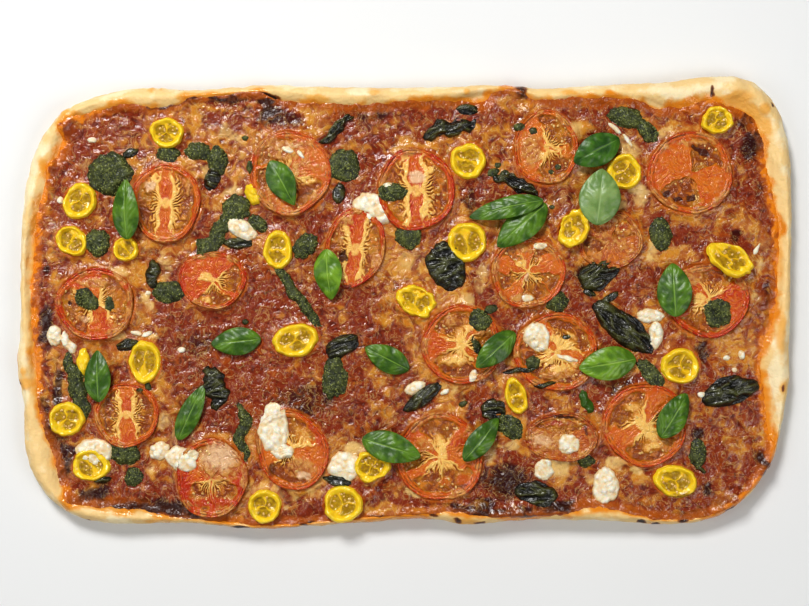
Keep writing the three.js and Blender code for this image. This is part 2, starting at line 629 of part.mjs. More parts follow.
const baked = new THREE.Group();
baked.add(crust, bed);
for (const pieces of [redSlices, yellowSlices, basilLeaves]) baked.add(new THREE.Group().add(...pieces));

const pizza = new THREE.Group().add(baked);
const middle = new THREE.Box3().setFromObject(baked).getCenter(new THREE.Vector3());
baked.position.set(-middle.x, -middle.y, 0);

export default pizza;
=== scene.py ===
"""Looks of a rectangular margherita pizza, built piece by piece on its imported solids.

Sizes are in millimetres up to the point where a mesh is made. Places on the pizza are read off the
photograph, which was taken from straight above.
"""

import json
import logging
import math
from dataclasses import dataclass, field
from enum import Enum
from typing import Callable, Iterable, Sequence

import bmesh
import bpy
import numpy as np
from mathutils import Matrix, Vector
from mathutils.bvhtree import BVHTree
from mathutils.kdtree import KDTree

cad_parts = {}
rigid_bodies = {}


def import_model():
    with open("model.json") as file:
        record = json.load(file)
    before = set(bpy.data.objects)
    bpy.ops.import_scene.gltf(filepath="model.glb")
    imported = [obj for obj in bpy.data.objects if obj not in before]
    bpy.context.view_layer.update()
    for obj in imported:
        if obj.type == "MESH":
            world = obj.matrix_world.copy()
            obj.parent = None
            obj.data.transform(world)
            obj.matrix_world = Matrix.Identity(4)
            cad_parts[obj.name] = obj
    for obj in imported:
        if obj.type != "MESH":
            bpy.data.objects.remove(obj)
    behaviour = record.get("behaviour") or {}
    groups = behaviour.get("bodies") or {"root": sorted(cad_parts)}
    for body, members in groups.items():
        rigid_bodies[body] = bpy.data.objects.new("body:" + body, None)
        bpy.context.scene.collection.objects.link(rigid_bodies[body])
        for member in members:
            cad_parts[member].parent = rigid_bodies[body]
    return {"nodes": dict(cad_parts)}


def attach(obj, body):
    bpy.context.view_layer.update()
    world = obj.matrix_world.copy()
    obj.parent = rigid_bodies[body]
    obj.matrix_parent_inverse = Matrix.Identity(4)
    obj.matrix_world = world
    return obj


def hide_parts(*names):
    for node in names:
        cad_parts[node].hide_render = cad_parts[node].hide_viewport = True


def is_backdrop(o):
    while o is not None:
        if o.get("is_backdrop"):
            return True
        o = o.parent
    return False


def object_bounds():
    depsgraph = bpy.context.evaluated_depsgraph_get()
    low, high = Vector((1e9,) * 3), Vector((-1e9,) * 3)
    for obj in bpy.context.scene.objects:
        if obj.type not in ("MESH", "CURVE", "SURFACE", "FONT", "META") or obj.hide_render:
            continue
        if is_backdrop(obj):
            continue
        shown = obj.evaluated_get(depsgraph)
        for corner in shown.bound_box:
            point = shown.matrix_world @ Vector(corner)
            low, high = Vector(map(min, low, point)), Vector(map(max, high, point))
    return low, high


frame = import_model()
CAD_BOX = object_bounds()

log = logging.getLogger("pizza")

Array = np.ndarray
Pair = tuple[float, float]
Colour = tuple[float, float, float]
Piece = bpy.types.Object
Material = bpy.types.Material
Socket = bpy.types.NodeSocket

# Metres in a millimetre, and the one body that everything rides on.
MM = 0.001
BODY = "root"

# How the photograph maps onto the pizza.
PHOTO_SIZE = (809, 606)
PHOTO_CENTRE = (403.6, 302.1)
MM_PER_PIXEL = 462.0 / 777.7
EYE_HEIGHT = 900.0
EDGE_LEVEL = 7.0
TOPPING_LEVEL = 13.0

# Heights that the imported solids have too.
FLOOR_LEVEL = 8.0
BED_LEVEL = 11.5
BED_WAVES = ((0.22, 31, 23, 1.3), (0.22, 31, -23, 1.3), (0.3, 17, 17, 0.0), (0.2, 11, -7, 0.0))
SLICE_HEIGHT = 4.2
YELLOW_HEIGHT = 5.2
LEAF_THICKNESS = 0.8
HIGH_LEVEL = 21.4
SQUEEZE = 0.25
ABOVE_ALL = 60.0

# Distance in mm beyond which a slice has no more effect on the layer round it.
FAR = 30.0

# How far red, green and blue light spreads under a soft surface, as shares.
SPREAD_OF_LIGHT = (1.0, 0.4, 0.15)

# Mask that says where strewn bits lie.
SPRINKLE = "sprinkle"


def from_photo(photo: Pair, level: float = TOPPING_LEVEL) -> Pair:
    """x and y in mm of a pixel column and row of the photograph, for a place at a level above the table."""
    scale = MM_PER_PIXEL * (EYE_HEIGHT - level) / (EYE_HEIGHT - EDGE_LEVEL)
    return (photo[0] - PHOTO_CENTRE[0]) * scale, (PHOTO_CENTRE[1] - photo[1]) * scale


def ease(low: float, high: float, value: Array) -> Array:
    """Rises smoothly from 0 at low to 1 at high, or falls where high is below low."""
    share = np.clip((value - low) / (high - low), 0, 1)
    return share * share * (3 - 2 * share)


def mix(start: Array, end: Array, share: Array) -> Array:
    """Goes from start to end by the share."""
    return start + (end - start) * share


def columns(*values: Array) -> Array:
    """Puts equally long rows of numbers side by side as points."""
    return np.stack([np.broadcast_to(v, values[0].shape) for v in values], axis=-1)


def bed_wave(x: Array, y: Array) -> Array:
    """Height of the melted layer's slow waves at places in mm."""
    waves = (height * np.sin(x / a + y / b + phase) for height, a, b, phase in BED_WAVES)
    return BED_LEVEL + sum(waves)


class Grain:
    """Seeded smooth noise in space, and seeded bubbles in the plane."""

    def __init__(self, seed: int) -> None:
        """Draws the noise's slopes and the bubbles' places."""
        draw = np.random.default_rng(seed)
        self.order = draw.permutation(256)
        slopes = draw.normal(size=(256, 3))
        self.slopes = slopes / np.linalg.norm(slopes, axis=1, keepdims=True)
        self.spots = draw.random((256, 3))

    def _key(self, cell: Array) -> Array:
        """Number from 0 to 255 for each cell of space."""
        key = self.order[cell[:, 0] & 255]
        key = self.order[(key + cell[:, 1]) & 255]
        if cell.shape[1] == 2:
            return key
        return self.order[(key + cell[:, 2]) & 255]

    def smooth(self, points: Array, size: float) -> Array:
        """Noise from about -1 to 1.

        Args:
            points: Places in mm, three numbers each.
            size: Width of one swell in mm.

        Returns:
            One value for each place.
        """
        place = points / size
        cell = np.floor(place).astype(int)
        part = place - cell
        fade = part**3 * (part * (part * 6 - 15) + 10)
        total = np.zeros(len(points))
        for corner in np.ndindex(2, 2, 2):
            step = np.array(corner)
            reach = ((part - step) * self.slopes[self._key(cell + step)]).sum(axis=1)
            total += reach * np.where(step, fade, 1 - fade).prod(axis=1)
        return total * 1.7

    def rough(self, points: Array, size: float, layers: int = 3) -> Array:
        """Noise of several sizes, each half as wide and half as strong as the one before."""
        return sum(self.smooth(points + 31.7 * k, size / 2**k) / 2**k for k in range(layers))

    def bubbles(self, points: Array, size: float, share: float) -> Array:
        """Round bubbles strewn over the plane.

        Args:
            points: Places in mm; only x and y count.
            size: Width of a cell, which holds one bubble at most.
            share: Share of the cells that hold one.

        Returns:
            0 outside the bubbles and 1 on the top of each.
        """
        place = points[:, :2] / size
        cell = np.floor(place).astype(int)
        top = np.zeros(len(points))
        for step in np.ndindex(3, 3):
            near = cell + np.array(step) - 1
            spot = self.spots[self._key(near)]
            radius = 0.24 + 0.26 * ((spot[:, 2] * 7.3) % 1)
            away = np.hypot(*(place - near - spot[:, :2]).T) / radius
            dome = np.sqrt(np.clip(1 - away**2, 0, 1))
            top = np.maximum(top, np.where(spot[:, 2] < share, dome, 0))
        return top


def polar(reach: Array | float, angle: Array, level: float) -> Array:
    """Points at a reach in mm in each direction, all at one level, to read noise at."""
    return columns(reach * np.cos(angle), reach * np.sin(angle), np.full(angle.shape, level)).reshape(-1, 3)


def grid(around: int, across: int, power: float = 1.0) -> tuple[Array, Array]:
    """Share of the radius and direction in radians for each point of the face of a round piece."""
    share = np.linspace(0, 1, across + 1)[1:, None] ** power
    return np.broadcast_arrays(share, np.arange(around)[None, :] * 2 * math.pi / around)


@dataclass(frozen=True)
class Oval:
    """Oval area on the pizza."""

    photo: Pair
    radii: Pair
    turn: float = 0.0

    @classmethod
    def rows(cls, *rows: tuple) -> tuple:
        """Makes one of each row: column and row in the photograph, both radii in mm, and the rest."""
        return tuple(cls((a, b), (c, d), *rest) for a, b, c, d, *rest in rows)

    def centre(self) -> Pair:
        """Its middle on the pizza."""
        return from_photo(self.photo)

    def spread(self, u: Array, v: Array) -> tuple[Array, Array]:
        """x and y in mm of places given in its own directions."""
        cx, cy, c, s = self._axes()
        return cx + u * c - v * s, cy + u * s + v * c

    def _axes(self) -> tuple[float, float, float, float]:
        """Its middle, and cosine and sine of its turn."""
        return *self.centre(), math.cos(math.radians(self.turn)), math.sin(math.radians(self.turn))

    def share(self, x: Array, y: Array) -> Array:
        """0 in its middle and 1 on its edge."""
        cx, cy, c, s = self._axes()
        u = (x - cx) * c + (y - cy) * s
        v = (y - cy) * c - (x - cx) * s
        return np.hypot(u / self.radii[0], v / self.radii[1])

    def beyond(self, x: Array, y: Array) -> Array:
        """Rough distance outside its edge in mm, below 0 inside."""
        return (self.share(x, y) - 1) * 0.5 * sum(self.radii)


@dataclass(frozen=True)
class Patch(Oval):
    """Soft-edged oval area of a baked look."""

    strength: float = 1.0

    @classmethod
    def groups(cls, groups: dict[float, tuple]) -> tuple:
        """Makes patches of rows by strength: column, row, both radii and, for a turned one, its turn."""
        every = [(row, strength) for strength, rows in groups.items() for row in rows]
        return tuple(cls(row[:2], row[2:4], *(row[4:] or (0,)), strength) for row, strength in every)

    def cover(self, x: Array, y: Array) -> Array:
        """How strongly it shows at places in mm."""
        return self.strength * (1 - ease(0.35, 1.2, self.share(x, y)))


def cover_of(patches: Iterable[Patch], x: Array, y: Array) -> Array:
    """Strongest cover of any of the patches at places in mm."""
    cover = np.zeros(np.shape(x))
    for patch in patches:
        cover = np.maximum(cover, patch.cover(x, y))
    return cover


def clearance(ovals: Iterable[Oval], x: Array, y: Array) -> Array:
    """Distance in mm outside the nearest of some ovals, as far as it counts."""
    clear = np.full(len(x), FAR)
    for oval in ovals:
        clear = np.minimum(clear, oval.beyond(x, y))
    return clear


# Meshes.
def placed(name: str, data: bpy.types.ID) -> Piece:
    """Puts a new object with some data into the scene."""
    piece = bpy.data.objects.new(name, data)
    bpy.context.scene.collection.objects.link(piece)
    return piece


def make_piece(name: str, points: Array, faces: Sequence, material: Material) -> Piece:
    """Makes a smooth mesh piece at the origin.

    Args:
        name: Name of the piece.
        points: Its points in mm.
        faces: Its faces as rows of point numbers.
        material: Its finish.

    Returns:
        The new object.
    """
    points = np.array(points, float)
    points[:, 2] -= SQUEEZE * np.clip(points[:, 2] - HIGH_LEVEL, 0, None)
    mesh = bpy.data.meshes.new(name)
    mesh.from_pydata((points * MM).tolist(), [], faces)
    mesh.polygons.foreach_set("use_smooth", np.ones(len(mesh.polygons), bool))
    mesh.materials.append(material)
    mesh.update()
    return placed(name, mesh)


def paint(piece: Piece, name: str, *masks: Array) -> None:
    """Stores up to four masks on a piece's points as one colour attribute.

    Args:
        piece: Piece to paint.
        name: Name of the attribute.
        masks: Values from 0 to 1, one for each point.
    """
    count = len(piece.data.vertices)
    values = np.zeros((count, 4), np.float32)
    for k, mask in enumerate(masks):
        values[:, k] = np.clip(mask, 0, 1)
    attribute = piece.data.attributes.new(name, "FLOAT_COLOR", "POINT")
    attribute.data.foreach_set("color", values.ravel())


def evaluated_mesh(piece: Piece) -> bpy.types.Mesh:
    """Plain copy of a piece's mesh with its modifiers applied."""
    return bpy.data.meshes.new_from_object(piece.evaluated_get(bpy.context.evaluated_depsgraph_get()))


def points_of(piece: Piece) -> Array:
    """A piece's points in mm."""
    flat = np.zeros(len(piece.data.vertices) * 3, np.float32)
    piece.data.vertices.foreach_get("co", flat)
    return flat.reshape(-1, 3).astype(float) / MM


def move_points(piece: Piece, points: Array) -> None:
    """Gives a piece new places in mm for its points."""
    piece.data.vertices.foreach_set("co", (points * MM).astype(np.float32).ravel())
    piece.data.update()


def shell(rings: Array, top: Array, bottom: Array) -> tuple[Array, list]:
    """Closes rings of points into one shell.

    Args:
        rings: Rings from the middle of the top, over the edge, to the middle of the underside, each
            counter-clockwise seen from above.
        top: Point in the middle of the top.
        bottom: Point in the middle of the underside.

    Returns:
        Points and faces.
    """
    count, around, _ = rings.shape
    points = np.vstack([rings.reshape(-1, 3), top, bottom])
    index = np.arange(count * around).reshape(count, around)
    after = np.roll(index, -1, axis=1)
    quads = np.stack([index[:-1], index[1:], after[1:], after[:-1]], axis=-1).reshape(-1, 4)
    high, low = count * around, count * around + 1
    faces = quads.tolist()
    faces += [[high, a, b] for a, b in zip(index[0].tolist(), after[0].tolist())]
    faces += [[low, b, a] for a, b in zip(index[-1].tolist(), after[-1].tolist())]
    return points, faces


def over_shell(mask: Array, edge: float, rings: int) -> Array:
    """Carries a mask of a round face on to the rings of the side and the middles of top and underside."""
    return np.concatenate([mask.ravel(), np.full(rings * mask.shape[1], edge), [mask[0].mean(), edge]])


class Ground:
    """What lies below a place: the highest of some pieces."""

    def __init__(self, *pieces: Piece) -> None:
        """Prepares the pieces for looking down on them."""
        bpy.context.view_layer.update()
        self.trees = []
        for piece in pieces:
            faces = [tuple(face.vertices) for face in piece.data.polygons]
            self.trees.append(BVHTree.FromPolygons(points_of(piece).tolist(), faces))

    def height(self, x: Array, y: Array, missing: float = 0.0) -> Array:
        """Height of the highest piece.

        Args:
            x: Places along x in mm.
            y: Places along y in mm.
            missing: Height where there is no piece.

        Returns:
            Heights in mm.
        """
        down = Vector((0, 0, -1))
        heights = np.full(np.size(x), missing)
        for i, (px, py) in enumerate(zip(np.ravel(x), np.ravel(y))):
            for tree in self.trees:
                hit = tree.ray_cast(Vector((px, py, ABOVE_ALL)), down)[0]
                if hit is not None and hit.z > heights[i]:
                    heights[i] = hit.z
        return heights.reshape(np.shape(x))


# Finishes.
class Wiring:
    """Adds and links the nodes of one tree."""

    def __init__(self, tree: bpy.types.NodeTree) -> None:
        """Starts on a tree."""
        self.tree = tree

    def set(self, socket: Socket, value: object) -> None:
        """Gives a socket a link or a fixed value."""
        if isinstance(value, Socket):
            self.tree.links.new(value, socket)
        elif isinstance(value, tuple) and socket.type == "RGBA":
            socket.default_value = (*value, 1.0)
        else:
            socket.default_value = value

    def add(self, kind: str, inputs: dict | None = None, **settings: object) -> bpy.types.Node:
        """Adds a node.

        Args:
            kind: Its type.
            inputs: Links or fixed values for its inputs.
            settings: Its own settings.

        Returns:
            The node.
        """
        node = self.tree.nodes.new(kind)
        for name, value in settings.items():
            setattr(node, name, value)
        for key, value in (inputs or {}).items():
            self.set(node.inputs[key], value)
        return node


class Sketch(Wiring):
    """Builds one node material, with patterns in the pizza's own millimetres."""

    def __init__(self, name: str, roughness: float, coat: float = 0.0) -> None:
        """Starts a material with one shader."""
        self.material = bpy.data.materials.new(name)
        self.material.use_nodes = True
        super().__init__(self.material.node_tree)
        self.tree.nodes.clear()
        looks = {"Roughness": roughness, "Coat Weight": coat, "Coat Roughness": 0.1}
        self.shader = self.add("ShaderNodeBsdfPrincipled", looks)
        self.add("ShaderNodeOutputMaterial", {"Surface": self.shader.outputs[0]})
        self.place = self.add("ShaderNodeTexCoord").outputs["Object"]

    def noise(self, size: float, detail: float = 2.0, swirl: float = 0.0) -> Socket:
        """Noise with swells of a size in mm, from 0 to 1."""
        inputs = {"Vector": self.place, "Scale": 1 / (size * MM), "Detail": detail, "Distortion": swirl}
        return self.add("ShaderNodeTexNoise", inputs).outputs[0]

    def masks(self, name: str) -> list[Socket]:
        """The four masks of a painted attribute."""
        node = self.add("ShaderNodeAttribute", attribute_name=name)
        split = self.add("ShaderNodeSeparateColor", {0: node.outputs["Color"]})
        return [*split.outputs, node.outputs["Alpha"]]

    def math(self, kind: str, first: object, second: object = 0.0, third: object = 0.0) -> Socket:
        """One sum, product or the like of numbers or sockets."""
        return self.add("ShaderNodeMath", {0: first, 1: second, 2: third}, operation=kind).outputs[0]

    def rise(self, value: object, low: float, high: float, top: float = 1.0) -> Socket:
        """Smooth rise from 0 at low to top at high."""
        inputs = {"Value": value, "From Min": low, "From Max": high, "To Max": top}
        return self.add("ShaderNodeMapRange", inputs, interpolation_type="SMOOTHSTEP").outputs[0]

    def uneven(self, mask: object, noise: object, amount: float) -> Socket:
        """A mask made ragged by noise round its middle."""
        return self.math("ADD", mask, self.math("MULTIPLY_ADD", noise, amount, -0.5 * amount))

    def layers(self, colour: object, *rows: tuple) -> Socket:
        """Lays colours over one another.

        Args:
            colour: The lowest colour.
            rows: For each colour over it: the colour, its mask, limits and top of the mask's rise, and for
                a ragged mask the noise and its amount.

        Returns:
            The colour seen from above.
        """
        for over, mask, rise, *ragged in rows:
            share = self.uneven(mask, *ragged) if ragged else mask
            inputs = {0: self.rise(share, *rise), 6: colour, 7: over}
            colour = self.add("ShaderNodeMix", inputs, data_type="RGBA").outputs[2]
        return colour

    def relief(self, *layers: tuple[object, float]) -> None:
        """Adds bump to the shader.

        Args:
            layers: Pairs of a pattern and its height in mm.
        """
        below = {}
        for height, depth in layers:
            node = self.add("ShaderNodeBump", {"Distance": depth * MM, "Height": height, **below})
            below = {"Normal": node.outputs[0]}
        self.set(self.shader.inputs["Normal"], below["Normal"])

    def finish(self, colour: object, roughness: object = None, soft: float = 0.0) -> Material:
        """Sets the shader's colour and closes the material.

        Args:
            colour: Colour of the surface.
            roughness: Pattern of the roughness, if it isn't the same all over.
            soft: Share of light that spreads under the surface.

        Returns:
            The material.
        """
        looks = {"Base Color": colour}
        if roughness is not None:
            looks["Roughness"] = roughness
        if soft:
            looks["Subsurface Weight"] = soft
            looks["Subsurface Radius"] = SPREAD_OF_LIGHT
            looks["Subsurface Scale"] = 2.0 * MM
        for name, value in looks.items():
            self.set(self.shader.inputs[name], value)
        return self.material


@dataclass(frozen=True)
class DoughFinish:
    """Baked dough: pale and floury, golden towards the sauce, with char and orange fat."""

    pale: Colour = (0.84, 0.58, 0.25)
    floury: Colour = (0.9, 0.74, 0.45)
    golden: Colour = (0.8, 0.41, 0.085)
    stained: Colour = (0.76, 0.25, 0.012)
    brown: Colour = (0.22, 0.06, 0.012)
    black: Colour = (0.022, 0.01, 0.007)

    def material(self) -> Material:
        """Builds the finish from the painted masks gold, char, stain and flour."""
        sketch = Sketch("baked_dough", 0.78)
        gold, char, stain, flour = sketch.masks("bake")
        broad, fine = sketch.noise(9, 3), sketch.noise(1.6, 3)
        colour = sketch.layers(
            self.pale,
            (self.floury, flour, (0.25, 0.8), fine, 0.5),
            (self.golden, gold, (0.1, 0.9), broad, 0.5),
            (self.stained, stain, (0.2, 0.9, 0.9), broad, 0.7),
            (self.brown, char, (0.15, 0.55), fine, 0.5),
            (self.black, char, (0.5, 0.9), fine, 0.5),
        )
        sketch.relief((sketch.noise(3.2, 4), 0.5), (fine, 0.16), (sketch.noise(0.5, 2), 0.05))
        return sketch.finish(colour, sketch.rise(stain, 1.0, -0.6, 0.8), 0.05)


@dataclass(frozen=True)
class BedFinish:
    """Tomato sauce under a broken film of melted, browned cheese."""

    deep: Colour = (0.045, 0.004, 0.002)
    brick: Colour = (0.24, 0.032, 0.007)
    oily: Colour = (0.52, 0.125, 0.006)
    tan: Colour = (0.42, 0.13, 0.026)
    golden: Colour = (0.61, 0.265, 0.026)
    cream: Colour = (0.8, 0.54, 0.2)
    roasted: Colour = (0.24, 0.045, 0.006)
    black: Colour = (0.028, 0.006, 0.005)
    fat: Colour = (0.76, 0.235, 0.008)

    def material(self) -> Material:
        """Builds the finish from the painted masks cheese, dark, roast and pale, and oil and fat."""
        sketch = Sketch("melted_cheese_and_sauce", 0.2)
        cheese, dark, roast, pale = sketch.masks("bake")
        oil, fat = sketch.masks("juices")[:2]
        broad = sketch.noise(16, 3, 1.0)
        middle = sketch.noise(7.5, 3, 1.2)
        small = sketch.noise(3.6, 2.5, 0.9)
        sauce = sketch.layers(
            self.deep,
            (self.brick, dark, (0.7, 0.0), broad, 0.8),
            (self.oily, middle, (0.5, 0.72, 0.45)),
            (self.deep, small, (0.5, 0.3, 0.6)),
        )
        film = sketch.layers(
            self.tan,
            (self.golden, middle, (0.36, 0.62)),
            (self.oily, small, (0.5, 0.72, 0.5)),
            (self.cream, small, (0.42, 0.28, 0.5)),
        )
        ragged = sketch.uneven(sketch.uneven(cheese, broad, 0.9), middle, 0.9)
        threads = []
        for pattern, level, share in ((middle, 0.53, 0.34), (small, 0.57, 0.26)):
            thread = sketch.math("ABSOLUTE", sketch.math("SUBTRACT", pattern, level))
            threads.append((self.cream, thread, (0.022, 0.0, share)))
        colour = sketch.layers(
            sauce,
            (film, ragged, (0.2, 0.95, 0.94), small, 0.45),
            *threads,
            (self.oily, oil, (0.25, 1.05, 0.8), middle, 0.9),
            (self.cream, pale, (0.3, 1.0, 0.85), middle, 0.9),
            (self.roasted, roast, (0.3, 1.0, 0.9), small, 0.8),
            (self.black, dark, (0.62, 1.05, 0.92), middle, 0.9),
            (self.fat, fat, (0.25, 0.95, 0.92), middle, 1.2),
        )
        sketch.relief((middle, 1.5), (small, 0.55))
        gloss = sketch.math("ADD", sketch.rise(broad, 0.3, 0.7, 0.16), 0.16)
        return sketch.finish(colour, gloss, 0.03)


class Tone(Enum):
    """How ripe and how roasted a red slice looks."""

    RED = "red"
    ORANGE = "orange"
    DULL = "dull"


@dataclass(frozen=True)
class RedTomatoFinish:
    """Roasted red tomato: thin skin, fleshy wall, golden gel and a pale fibrous core."""

    name: str
    skin: Colour
    flesh: Colour
    septum: Colour
    gel: Colour = (0.21, 0.042, 0.004)
    olive: Colour = (0.47, 0.205, 0.011)
    core: Colour = (0.88, 0.55, 0.15)
    film: Colour = (0.61, 0.29, 0.07)
    tan: Colour = (0.4, 0.115, 0.022)
    pale: Colour = (0.8, 0.52, 0.3)
    lit: Colour = (0.75, 0.25, 0.028)
    translucent: Colour = (0.58, 0.165, 0.01)
    roasted: Colour = (0.06, 0.01, 0.005)

    def material(self) -> Material:
        """Builds the finish from the masks skin, gel, core and film, and roast, red, rays and pale."""
        sketch = Sketch(f"{self.name}_tomato", 0.2)
        skin, gel, core, film = sketch.masks("cut")
        roast, red, rays, pale = sketch.masks("roasting")
        broad = sketch.noise(9, 2, 0.5)
        middle = sketch.noise(3.0, 3, 0.6)
        fine = sketch.noise(0.9, 2)
        pulp = sketch.layers(
            self.olive, (self.gel, gel, (0.6, 1.1), broad, 1.4), (self.lit, middle, (0.5, 0.66, 0.5))
        )
        ring = sketch.layers(self.skin, (self.lit, middle, (0.47, 0.62, 0.6)))
        cheese = sketch.layers(self.tan, (self.film, middle, (0.38, 0.6)))
        colour = sketch.layers(
            self.flesh,
            (self.septum, broad, (0.35, 0.65)),
            (self.translucent, middle, (0.45, 0.62, 0.6)),
            (self.skin, red, (0.25, 0.8, 0.85), fine, 0.5),
            (self.lit, rays, (0.3, 1.0, 0.5), middle, 1.0),
            (pulp, gel, (0.25, 0.8, 0.92), middle, 0.5),
            (self.core, core, (0.25, 0.8), fine, 0.6),
            (ring, skin, (0.3, 0.85), middle, 0.9),
            (cheese, film, (0.15, 0.9, 0.9), middle, 1.0),
            (self.pale, pale, (0.25, 0.9, 0.9), middle, 0.8),
            # The roasted colour covers burnt marks, and also paints the shade in the ring's groove and in the
            # holes.
            (self.roasted, roast, (0.35, 0.95, 0.92), middle, 0.6),
        )
        sketch.relief((middle, 1.2), (fine, 0.2))
        return sketch.finish(colour, None, 0.1)


RED_FINISHES = {
    Tone.RED: RedTomatoFinish("red", (0.46, 0.026, 0.005), (0.5, 0.055, 0.006), (0.58, 0.09, 0.009)),
    Tone.ORANGE: RedTomatoFinish("orange", (0.5, 0.055, 0.006), (0.55, 0.095, 0.008), (0.62, 0.15, 0.012)),
    Tone.DULL: RedTomatoFinish("dull", (0.34, 0.035, 0.008), (0.38, 0.065, 0.012), (0.46, 0.12, 0.022)),
}


@dataclass(frozen=True)
class YellowTomatoFinish:
    """Small yellow tomato: bright wall, darker gel and pale septa."""

    wall: Colour = (0.82, 0.47, 0.004)
    lit: Colour = (0.92, 0.66, 0.03)
    gel: Colour = (0.3, 0.165, 0.006)
    pulp: Colour = (0.56, 0.35, 0.012)
    septum: Colour = (0.78, 0.5, 0.02)
    roasted: Colour = (0.18, 0.055, 0.008)

    def material(self) -> Material:
        """Builds the finish from the painted masks wall, gel, septum and roast."""
        sketch = Sketch("yellow_tomato", 0.2)
        wall, gel, septum, roast = sketch.masks("cut")
        middle, fine = sketch.noise(2.0, 3, 0.3), sketch.noise(0.7, 2)
        pulp = sketch.layers(self.pulp, (self.gel, gel, (0.5, 1.3), middle, 1.6))
        colour = sketch.layers(
            self.wall,
            (self.lit, middle, (0.35, 0.7)),
            (pulp, gel, (0.15, 0.8), middle, 0.5),
            (self.septum, septum, (0.3, 1.0, 0.7), middle, 0.6),
            (self.lit, wall, (0.3, 0.9, 0.6)),
            (self.roasted, roast, (0.35, 0.95), middle, 0.7),
        )
        sketch.relief((middle, 0.25), (fine, 0.1))
        return sketch.finish(colour, None, 0.18)


class Shade(Enum):
    """How a fresh leaf looks."""

    BRIGHT = "bright"
    LIGHT = "light"
    DARK = "dark"
    UNDERSIDE = "underside"


@dataclass(frozen=True)
class BasilFinish:
    """Fresh basil: satin green, lighter along its veins."""

    name: str
    blade: Colour
    lit: Colour
    vein: Colour

    def material(self) -> Material:
        """Builds the finish from the painted masks midrib, veins and blotch."""
        sketch = Sketch(f"{self.name}_basil", 0.38)
        midrib, veins, blotch_and_bulge_highlight, _ = sketch.masks("leaf")
        fine = sketch.noise(0.9, 3)
        colour = sketch.layers(
            self.blade,
            # The lit colour goes on random blotches and, as a painted highlight, on the raised bulges between
            # the veins.
            (self.lit, blotch_and_bulge_highlight, (0.1, 0.9), fine, 0.5),
            (self.vein, veins, (0.2, 1.0, 0.22)),
            (self.vein, midrib, (0.2, 0.9, 0.75)),
        )
        sketch.relief((fine, 0.05))
        return sketch.finish(colour, None, 0.08)


BASIL_FINISHES = {
    Shade.BRIGHT: BasilFinish("bright", (0.036, 0.098, 0.005), (0.105, 0.215, 0.013), (0.22, 0.37, 0.05)),
    Shade.LIGHT: BasilFinish("light", (0.08, 0.18, 0.008), (0.19, 0.345, 0.022), (0.3, 0.46, 0.07)),
    Shade.DARK: BasilFinish("dark", (0.018, 0.07, 0.005), (0.06, 0.16, 0.012), (0.13, 0.26, 0.035)),
    Shade.UNDERSIDE: BasilFinish("underside", (0.13, 0.23, 0.055), (0.23, 0.34, 0.11), (0.31, 0.43, 0.17)),
}


@dataclass(frozen=True)
class LumpFinish:
    """Something baked onto the cheese, of two main colours and a darker one: the lighter main colour is a
    painted highlight on its highest points, and the darker one is painted shade in its hollows and round its
    edge, on soft cheese a tan that also stands for browning.
    """

    name: str
    base: Colour
    lit: Colour
    hollow_shade_and_browning: Colour
    size: float
    roughness: float
    coat: float
    grain: float
    soft: float = 0.0

    def material(self) -> Material:
        """Builds the finish from the painted masks high and edge, which place the painted highlight and the
        painted shade.
        """
        sketch = Sketch(self.name, self.roughness, self.coat)
        high, edge = sketch.masks("lump")[:2]
        broad, fine = sketch.noise(self.size, 3, 0.3), sketch.noise(self.size / 4, 2)
        # Painted shade in the low points, the base colour higher up, a painted highlight on the highest points,
        # and painted shade again towards the edge.
        colour = sketch.layers(
            self.hollow_shade_and_browning,
            (self.base, high, (0.05, 0.6), broad, 0.9),
            (self.lit, high, (0.55, 1.05), fine, 1.0),
            (self.hollow_shade_and_browning, edge, (0.5, 1.0, 0.7), broad, 0.6),
        )
        sketch.relief((broad, self.grain), (fine, 0.45 * self.grain))
        return sketch.finish(colour, None, self.soft)


class Baked(Enum):
    """What a lump on the cheese is."""

    PESTO = "pesto"
    CHEESE = "soft_cheese"
    WILTED = "wilted_basil"


# Colours of each kind: base, a lighter painted highlight, and a darker painted shade for hollows and edges.
LUMP_FINISHES = {
    Baked.PESTO: LumpFinish("pesto", (0.05, 0.062, 0.01), (0.17, 0.19, 0.04), (0.009, 0.013, 0.003),
                            1.3, 0.4, 0.15, 0.6),
    Baked.CHEESE: LumpFinish("soft_cheese", (0.84, 0.78, 0.6), (0.9, 0.88, 0.82), (0.76, 0.52, 0.24),
                             3.4, 0.5, 0.1, 0.4, 0.2),
    Baked.WILTED: LumpFinish("wilted_basil", (0.014, 0.013, 0.004), (0.07, 0.072, 0.014),
                             (0.004, 0.003, 0.003), 2.0, 0.24, 0.4, 0.5),
}


@dataclass(frozen=True)
class PlainFinish:
    """Small strewn bits of one kind, a little uneven in colour."""

    name: str
    dark: Colour
    light: Colour
    roughness: float = 0.35

    def material(self) -> Material:
        """Builds the finish."""
        sketch = Sketch(self.name, self.roughness, 0.3)
        patches = sketch.noise(1.3, 1)
        sketch.relief((sketch.noise(0.6, 1), 0.08))
        return sketch.finish(sketch.layers(self.dark, (self.light, patches, (0.35, 0.65))))


